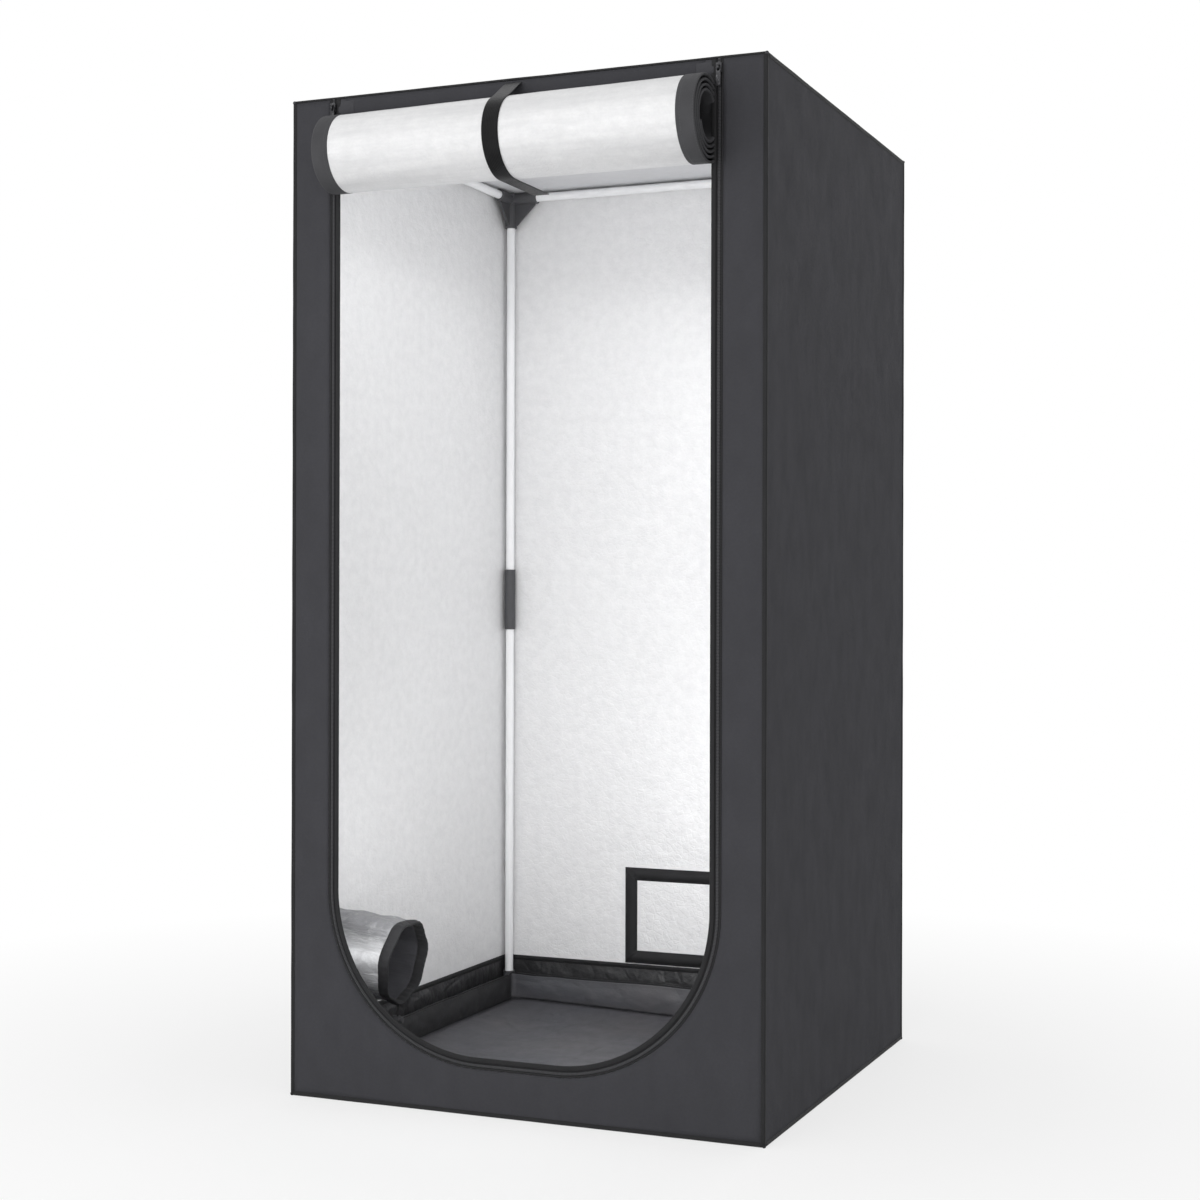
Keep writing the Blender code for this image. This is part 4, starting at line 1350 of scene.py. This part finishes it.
def addSock(name, place, seed):
    turns = turnsOf(sock["sides"])
    radius, length = sock["radius"], sock["length"]
    for part, lift, finish, replaces in (
        ("Sleeve", sock["outside"], "duct", [f"{name}_sock"]),
        ("SleeveInside", sock["inside"], "coverCloth", []),
    ):
        def rule(ring, column):
            distance = length * ring / sock["rings"]
            turn = turns[column]
            up = math.sin(turn)
            # painted shade: the sleeve's colour is darker over its top and its underside, and light only
            # across its middle
            (top, topReach), (low, lowReach) = sock["topShade"], sock["lowShade"]
            paintedShade = softStep((up - top) / topReach) + sock["lowShare"] * softStep((low - up) / lowReach)
            spot = sockPlace(distance, turn, lift + crumple(distance, turn, seed))
            return place @ spot, (radius * turn, distance, paintedShade)

        rows = sock["rings"] + 1
        item = addCloth(
            f"{name}{part}", rows, len(turns), rule, finish, sock["skin"], replaces=replaces, wrap=True)

    # the rim is a hem gathered on its drawstring
    def rimRule(ring, column):
        (distance, extra), turn = sock["rim"][ring], turns[column]
        swell = 0.5 + 0.5 * math.sin(math.pi * distance / sock["rimWide"])
        pleat = sock["pleat"] * math.sin(sock["pleats"] * turn + 2 * math.sin(3 * turn)) * swell
        pleat += rippled(sock["pucker"], turn * 0.07, distance, seed)
        spot = sockPlace(sock["rimStart"] + distance, turn, extra + pleat)
        return place @ spot, (radius * turn, sock["rimCloth"] * ring, 0)

    rows = len(sock["rim"])
    faces = tubeFaces(rows, len(turns), closed=True)
    item = addRuled(
        f"{name}Rim", rows, len(turns), rimRule, faces, "blackCloth", replaces=[f"{name}_rim"])
    # sewn rings that bind the port, outside and inside
    for part, base, out, finish in port["rings"]:
        path = [place @ Vector((x, y, base)) for x, y in circle(len(turns), port["ring"])]
        normal = (place.to_3x3() @ Vector((0, 0, out))).normalized()
        addSwept(f"{name}{part}", path, normal, port["ringSection"], finish, closed=True)


addSock("intake", Matrix.Translation(intakeCentre) @ intakeTurn.to_4x4(), 1.7)
addSock("exhaust", Matrix.Translation(exhaustCentre) @ exhaustTurn.to_4x4(), 5.9)
print("socks hung")


# floor tub with its black upstand
tub = {
    "half": 0.3973, "faceFrom": 0.39, "corner": 0.005, "step": 0.009, "rows": 13, "skin": 0.0009,
    "sillHalf": 0.200, "sillHigh": 0.074, "sillBlend": 0.018,
    "crumple": 0.0042, "lumpSizes": (0.055, 0.045), "ridge": 0.040, "fineSizes": (0.016, 0.03),
    "cornerClear": 0.05, "lowFlat": 0.022, "lowBlend": 0.02, "flapBeside": 0.03, "flapHigh": 0.102,
    "hemFlat": 0.95, "hemHigh": 0.020, "hemBlend": 0.012,
    "hem": (
        (-0.0002, -0.0010), (-0.0006, 0.0), (-0.0002, 0.0008),
        (0.0080, 0.0008), (0.0084, 0.0003), (0.0084, -0.0010),
    ),
    "floorSkin": 0.0016, "floorTrim": 0.0004, "floorSide": 81, "floorRise": 0.00015, "floorRidge": 0.09,
}


def squareRoute(half, corner, step):
    # a rounded square, counter-clockwise from the middle of the front
    path = [Vector((0, -half, 0))]
    for quarter in range(4):
        spin = Matrix.Rotation(math.pi / 2 * quarter, 3, "Z")
        start = Vector((-half + corner if quarter else 0, -half, 0))
        line = linePoints(start, Vector((half - corner, -half, 0)), step)[1:]
        for index in range(1, 5):
            angle = -math.pi / 2 + math.pi / 2 * index / 4
            x, y = corner * math.cos(angle), corner * math.sin(angle)
            line.append(Vector((half - corner + x, -half + corner + y, 0)))
        path += [spin @ spot for spot in line]
    return path + linePoints(Vector((-half + corner, -half, 0)), Vector((0, -half, 0)), step)[1:-1]


def tubTop(place):
    if place.y > -tub["faceFrom"]:
        return skirtTop
    share = softStep((abs(place.x) - tub["sillHalf"]) / tub["sillBlend"])
    return tub["sillHigh"] + (skirtTop - tub["sillHigh"]) * share


def inwardAt(place):
    if abs(place.x) > abs(place.y):
        return Vector((-math.copysign(1, place.x), 0, 0))
    return Vector((0, -math.copysign(1, place.y), 0))


def addTub():
    half, skin = tub["half"], tub["skin"]
    path = squareRoute(half, tub["corner"], tub["step"])
    runs = runsAlong(path)

    def wallRule(row, column):
        place, run = path[column], runs[column]
        top = tubTop(place)
        z = wallLow + (top - wallLow) * row / (tub["rows"] - 1)
        clear = softStep((half - tub["cornerClear"] - min(abs(place.x), abs(place.y))) / tub["cornerClear"])
        clear *= softStep((z - tub["lowFlat"]) / tub["lowBlend"])
        if place.y > tub["faceFrom"] and abs(place.x) < flapHigh.x + tub["flapBeside"]:
            clear *= softStep((tub["flapHigh"] - z) / tub["flapBeside"])
        wrinkle = 0.5 + 0.5 * ripple(run, z, tub["lumpSizes"], 2.0)
        wrinkle += 0.35 * ridge(run, z, tub["ridge"], 5.0)
        wrinkle += 0.3 * ripple(run, z, tub["fineSizes"], 9.0)
        # the hem keeps the top edge flat
        flat = 1 - tub["hemFlat"] * softStep((z - top + tub["hemHigh"]) / tub["hemBlend"])
        spot = place + inwardAt(place) * (tub["crumple"] * clear * flat * max(wrinkle, 0) + skin / 2)
        return (spot.x, spot.y, z), (run, z, 0)

    item = addCloth(
        "tubUpstand", tub["rows"], len(path), wallRule, "skirtVinyl", skin, replaces=["floor_tub"], wrap=True)
    # folded hem along its top
    top = [Vector((place.x, place.y, tubTop(place))) + inwardAt(place) * (skin / 2) for place in path]
    addSwept("tubHem", top, [-inwardAt(place) for place in path], tub["hem"], "piping", closed=True)
    # floor sheet under everything
    side = tub["floorSide"]

    def floorRule(row, column):
        x, y = -sideX + 2 * sideX * column / (side - 1), -sideY + 2 * sideY * row / (side - 1)
        rise = tub["floorSkin"] / 2 + tub["floorRise"] * (1 + ridge(x, y, tub["floorRidge"], 4.0))
        return (x, y, rise), (x + sideX, y + sideY, 0)

    item = addCloth("tubFloor", side, side, floorRule, "blackCloth", tub["floorSkin"] - tub["floorTrim"])


addTub()


# spill tray
tray = {
    "cells": 74,
    "rows": 12,
    "skin": 0.0009,
    "wall": 0.0024,
    "lean": 0.0012,
    "sag": 0.004,
    "sagSizes": (0.08, 1),
    "cornerClear": 0.06,
    "lumpSizes": (0.045, 0.05),
    "ridge": 0.035,
    "fineSizes": (0.014, 0.02),
    "high": 0.07,
    "edge": 0.0016,
    "bend": 0.115,  # how far from the walls the floor starts to rise
    "bendPower": 1.7,
    "riseFront": 0.004,
    "riseRight": 0.004,
    "riseLeft": 0.016,
    "riseBack": (0.017, 0.007),  # at the left corner, and from the middle on
    "riseSpan": 0.42,
    "floorEdge": 0.03,
    "floorLift": 0.0010,
    "floorWave": 0.0011,
    "floorSizes": (0.12, 0.09),
    "floorRidge": 0.0030,
    "floorRidgeSize": 0.13,
    "floorRidgeFrom": 0.80,
    "shades": (0.85, 1.0, 0.15),  # how dark the bend, the side walls and the other walls are; the bend's dark line is painted shadow in the fold
}


def trayFloorHeight(x, y, half):
    # a stiff sheet that doesn't lie down along its folds
    corner, middle = tray["riseBack"]
    back = corner + (middle - corner) * softStep((x + half) / tray["riseSpan"])
    left, front, right = tray["riseLeft"], tray["riseFront"], tray["riseRight"]
    rises = ((half - y, back), (half + x, left), (half + y, front), (half - x, right))
    lift = max(rise * max(1 - far / tray["bend"], 0) ** tray["bendPower"] for far, rise in rises)
    edge = softStep((half - max(abs(x), abs(y))) / tray["floorEdge"])
    lift += tray["floorLift"] + tray["floorWave"] * (1 + ripple(x, y, tray["floorSizes"], 1.5)) * edge
    crest = max(ridge(x, y, tray["floorRidgeSize"], 2.6) - tray["floorRidgeFrom"], 0)
    return lift + tray["floorRidge"] * edge * crest


def addTray():
    low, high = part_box("spill_tray")
    half = high.x - tray["skin"] / 2
    count = tray["cells"]
    base = low.z + tray["skin"] / 2
    bendShade, sideShade, otherShade = tray["shades"]
    places, cloth = [], []
    for row in range(count + 1):
        for column in range(count + 1):
            x, y = -half + 2 * half * column / count, -half + 2 * half * row / count
            places.append(Vector((x, y, base + trayFloorHeight(x, y, half))))
            # painted shadow along the floor's edge, where it bends up into the walls
            cloth.append((x + half, y + half, bendShade if max(abs(x), abs(y)) > half - 0.0001 else 0))
    faces = gridFaces(count + 1, count + 1)
    wide = count + 1
    starts = ((0, 1), (count, wide), (count * wide + count, -1), (count * wide, -wide))
    previous = edge = [start + k * step for start, step in starts for k in range(count)]
    for row in range(1, tray["rows"] + 1):
        share = row / tray["rows"]
        current = []
        for k, index in enumerate(edge):
            spot = places[index].copy()
            along = k * 2 * half / count
            inward = inwardAt(spot)
            clear = softStep((half - min(abs(spot.x), abs(spot.y))) / tray["cornerClear"])
            z = spot.z + (high.z - spot.z) * share
            wrinkle = ripple(along, z, tray["lumpSizes"], 3.0) + 0.6 * ridge(along, z, tray["ridge"], 1.0)
            wrinkle += 0.4 * ripple(along, z, tray["fineSizes"], 6.0)
            lean = tray["lean"] * math.sin(math.pi * share)
            swell = math.sin(math.pi * min(share * 1.1, 1))
            depth = clear * swell * (tray["wall"] * (wrinkle + 0.6) + lean)
            sag = tray["sag"] * clear * (0.5 + 0.5 * ripple(along, 0, tray["sagSizes"], 4.4)) * share
            place = spot + inward * max(depth, 0)
            place.z = z - sag
            current.append(len(places))
            places.append(place)
            u, v = (flat + half - share * tray["high"] * way for flat, way in zip(spot.xy, inward.xy))
            cloth.append((u, v, sideShade if abs(spot.x) > abs(spot.y) else otherShade))
        for k in range(len(edge)):
            after = (k + 1) % len(edge)
            faces.append((previous[k], previous[after], current[after], current[k]))
        previous = current
    item = addPiece("trayCloth", places, faces, "trayVinyl", "tent", ["spill_tray"], cloth)
    thicken(item, tray["skin"])
    rim = [places[index] for index in previous]
    addSwept("trayRolledEdge", rim, Vector((0, 0, 1)), circle(10, tray["edge"]), "piping", closed=True)


addTray()
print("floor laid")


# vent window: net outside, flap with its border inside
vent = {
    "thread": 0.00095, "flatter": 0.6, "pitch": 0.0026,
    "border": 0.0245, "borderThick": 0.0017, "panelSkin": 0.0008, "lap": 0.004, "columns": 41, "rows": 25,
    "puff": (0.0003, 0.03, 0.05), "puffEdge": 0.03, "ridge": 0.0002, "ridgeSize": 0.03,
    "frameInset": 0.001, "frameWide": 0.016, "frameLift": 0.0002, "frameThick": 0.0008,
    "frameSteps": 24,
    "frameLayers": ((0.0, -0.5), (0.0, 0.4), (0.03, 0.5), (0.5, 0.42), (0.97, 0.5), (1.0, 0.4), (1.0, -0.5)),
    "wobble": (0.00015, 0.03, 0.03),
}


def thread(start, end, halfWide, halfThick, normal):
    side = (end - start).normalized().cross(normal)
    places = []
    for spot in (start, end):
        for a, b in squareCorners:
            places.append(spot + side * halfWide * a + normal * halfThick * b)
    return places, tubeFaces(2, 4), [(0, (place - start).length, 0) for place in places]


def addNet():
    low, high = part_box("vent_mesh")
    middleY = (low.y + high.y) / 2
    wide, tall = high.x - low.x, high.z - low.z
    half = vent["thread"] / 2
    thin = half * vent["flatter"]
    columns, rows = round(wide / vent["pitch"]), round(tall / vent["pitch"])
    lines = []
    for index in range(columns + 1):
        x = low.x + half + (wide - 2 * half) * index / columns
        lines.append([Vector((x, middleY - thin, z)) for z in (low.z, high.z)])
    for index in range(rows + 1):
        z = low.z + half + (tall - 2 * half) * index / rows
        lines.append([Vector((x, middleY + thin, z)) for x in (low.x, high.x)])
    threads = [thread(*line, half, thin, Vector((0, 1, 0))) for line in lines]
    net = addJoined("ventNet", threads, "net", ["vent_mesh"], smooth=False)


def addFrame(name, body, halfX, low, high, wide, y, thick, finish):
    # four strips of tape, mitred at the corners, around a rectangle
    steps, layers = vent["frameSteps"], vent["frameLayers"]
    inner = [(-halfX, low), (halfX, low), (halfX, high), (-halfX, high)]
    left, right, bottom, top = -halfX - wide, halfX + wide, low - wide, high + wide
    outer = [(left, bottom), (right, bottom), (right, top), (left, top)]

    def rule(row, column):
        corner, step = divmod(row, steps)
        after = (corner + 1) % 4
        a, b = (Vector(ring[corner]).lerp(Vector(ring[after]), step / steps) for ring in (inner, outer))
        across, height = layers[column]
        spot = a.lerp(b, across)
        wobble = rippled(vent["wobble"], spot.x, spot.y, 1.0)
        place = (spot.x, y + height * thick + wobble, spot.y)
        return place, (spot.x if corner % 2 == 0 else spot.y, across * wide, 0)

    faces = []
    count, total = len(layers), 4 * steps
    for row in range(total):
        here, there = row * count, (row + 1) % total * count
        for column in range(count):
            after = (column + 1) % count
            faces.append((here + column, there + column, there + after, here + after))
    return addRuled(name, total, count, rule, faces, finish, body)


def addVentCover():
    # sewn frame around the net, outside
    inset, lift = vent["frameInset"], vent["frameLift"]
    addFrame(
        "ventFrameOutside", "tent", window["halfX"] - inset, window["low"] + inset, window["high"] - inset,
        vent["frameWide"], sideY + lift, vent["frameThick"], "piping",
    )
    # flap panel and border, inside
    x, low, high = flapHigh.x - vent["border"], flapLow.z + vent["border"], flapHigh.z - vent["border"]
    middle = (flapLow.y + flapHigh.y) / 2
    wide, tall = 2 * (x + vent["lap"]), high - low + 2 * vent["lap"]
    columns, rows = vent["columns"], vent["rows"]

    def rule(row, column):
        u, v = wide * column / (columns - 1), tall * row / (rows - 1)
        puff = rippled(vent["puff"], u, v, 2.0)
        puff += vent["ridge"] * ridge(u, v, vent["ridgeSize"], 3.0)
        puff *= softStep(min(u, wide - u, v, tall - v) / vent["puffEdge"])
        return (u - x - vent["lap"], middle - puff, low - vent["lap"] + v), (u, v, 0)

    item = addCloth(
        "ventFlapPanel", rows, columns, rule, "lining", vent["panelSkin"], "vent_flap", ["vent_flap"])
    border = (vent["border"], middle, vent["borderThick"])
    addFrame("ventFlapBorder", "vent_flap", x, low, high, *border, "hemTape")


addNet()
addVentCover()
print("vent closed")


# finishes on the rigid nodes that stay
nodeFinishes = {
    ("pole_", "upright_", "hanging_bar_"): "enamel",
    ("connector_", "sleeve_", "bar_hook_", "intake_lock_"): "plastic",
    ("zip_slider_", "zip_pull_"): "zipMetal",
}
for nodeName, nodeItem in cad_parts.items():
    for starts, finishName in nodeFinishes.items():
        if nodeName.startswith(starts):
            if not nodeItem.material_slots:
                nodeItem.data.materials.append(None)
            for slot in nodeItem.material_slots:
                slot.material = finishes[finishName].material


# floor, light and world
stage = {
    "size": 14.0,
    "drop": -0.0006,
    "shade": (0.90, 0.90, 0.90),
    "fadeStart": 0.75,
    "fadeEnd": 1.9,
    "nearShare": 0.70,
    "worldStrength": 0.62,
}
# each lamp's place, the point that it aims at, its width, height and power, and its spread in degrees
lamps = {
    "key": ((-0.3, -4.3, 3.0), (0, 0, 0.7), 2.6, 2.6, 40),
    "fill": ((-2.2, -3.4, 0.9), (0, 0, 1.1), 2.4, 2.4, 24),
    "back": ((0.6, 3.6, 3.0), (0, 0, 0.8), 2.6, 2.6, 26),
    "low": ((0.3, -3.4, 0.5), (0, -0.4, 1.4), 1.6, 1.6, 10),
    # soft panels inside, which carry the studio light on to the lining
    "doorwayLeft": ((-0.29, -0.385, 0.92), (-0.29, 1, 0.92), 0.05, 1.18, 0.45),
    "besideSock": ((-0.335, -0.385, 0.235), (-0.335, 1, 0.235), 0.09, 0.05, 0.016),
    "doorwayRight": ((0.29, -0.385, 0.82), (0.29, 1, 0.82), 0.05, 1.36, 0.40),
    "doorwayLow": ((0, -0.385, 0.34), (0, 1, 0.34), 0.50, 0.24, 1.1, 150),
    "doorwayHigh": ((0, -0.385, 1.44), (0, 1, 1.44), 0.60, 0.20, 1.0, 150),
    "side": ((0.30, -0.08, 0.78), (-1, -0.08, 0.78), 0.56, 1.22, 0.35),
    "sideLow": ((0.35, 0.10, 0.40), (-1, 0.10, 0.40), 0.40, 0.32, 0.4),
    "sideHigh": ((0.35, 0, 1.26), (-1, 0, 1.26), 0.62, 0.24, 0.75),
    "room": ((0, 0, 1.42), (0, 0.001, 0), 0.60, 0.60, 0.5),
}


def seenDirectly(tree):
    # 1 on rays that show the background itself, and 0 on those that only light the scene
    path = tree.nodes.new("ShaderNodeLightPath").outputs
    kinds = ("Camera", "Glossy", "Transmission")
    camera, glossy, clear = (Signal(tree, path[f"Is {kind} Ray"]) for kind in kinds)
    return camera + glossy + clear


def addFloor():
    made = Finish("studioFloor", Roughness=0.9)
    made.colour(stage["shade"])
    far = made.add("ShaderNodeVectorMath", {"operation": "LENGTH"}, {0: made.bodyPlace()}, "Value")
    span = stage["fadeEnd"] - stage["fadeStart"]
    fade = made.curve((far - stage["fadeStart"]) / span, (0.0, 0.0), (1.0, 1.0))
    near = stage["nearShare"]
    share = seenDirectly(made.tree) * (fade * (1 - near) + near)
    glow = made.add("ShaderNodeEmission", values={"Color": (1, 1, 1), "Strength": 1.0})
    surface = made.add("ShaderNodeMixShader", values={0: share})
    node = surface.socket.node
    made.tree.links.new(made.shader.outputs[0], node.inputs[1])
    made.tree.links.new(glow.socket, node.inputs[2])
    made.tree.links.new(surface.socket, made.tree.nodes["Material Output"].inputs["Surface"])
    half = stage["size"] / 2
    mesh = bpy.data.meshes.new("studioFloor")
    mesh.from_pydata([(a * half, b * half, stage["drop"]) for a, b in squareCorners], [], [(0, 1, 2, 3)])
    mesh.materials.append(made.material)
    linkNew("studioFloor", mesh)


def addWorld():
    world = bpy.data.worlds.new("studio")
    world.use_nodes = True
    tree = world.node_tree
    ground = tree.nodes["Background"].inputs
    plug(tree, ground["Color"], (1, 1, 1))
    strength = stage["worldStrength"]
    plug(tree, ground["Strength"], seenDirectly(tree) * (1 - strength) + strength)
    bpy.context.scene.world = world


def addLamp(name, place, aim, wide, high, power, spread=180):
    data = bpy.data.lights.new(name, "AREA")
    data.shape = "RECTANGLE"
    data.size, data.size_y = wide, high
    data.energy = power
    data.spread = math.radians(spread)
    item = linkNew(name, data)
    item.location = place
    item.rotation_euler = (Vector(aim) - Vector(place)).to_track_quat("-Z", "Y").to_euler()
    item.visible_camera = False


addFloor()
addWorld()
for lampName, lampLook in lamps.items():
    addLamp(lampName + "Lamp", *lampLook)
bpy.context.scene.view_settings.view_transform = "Standard"
print("stage lit")
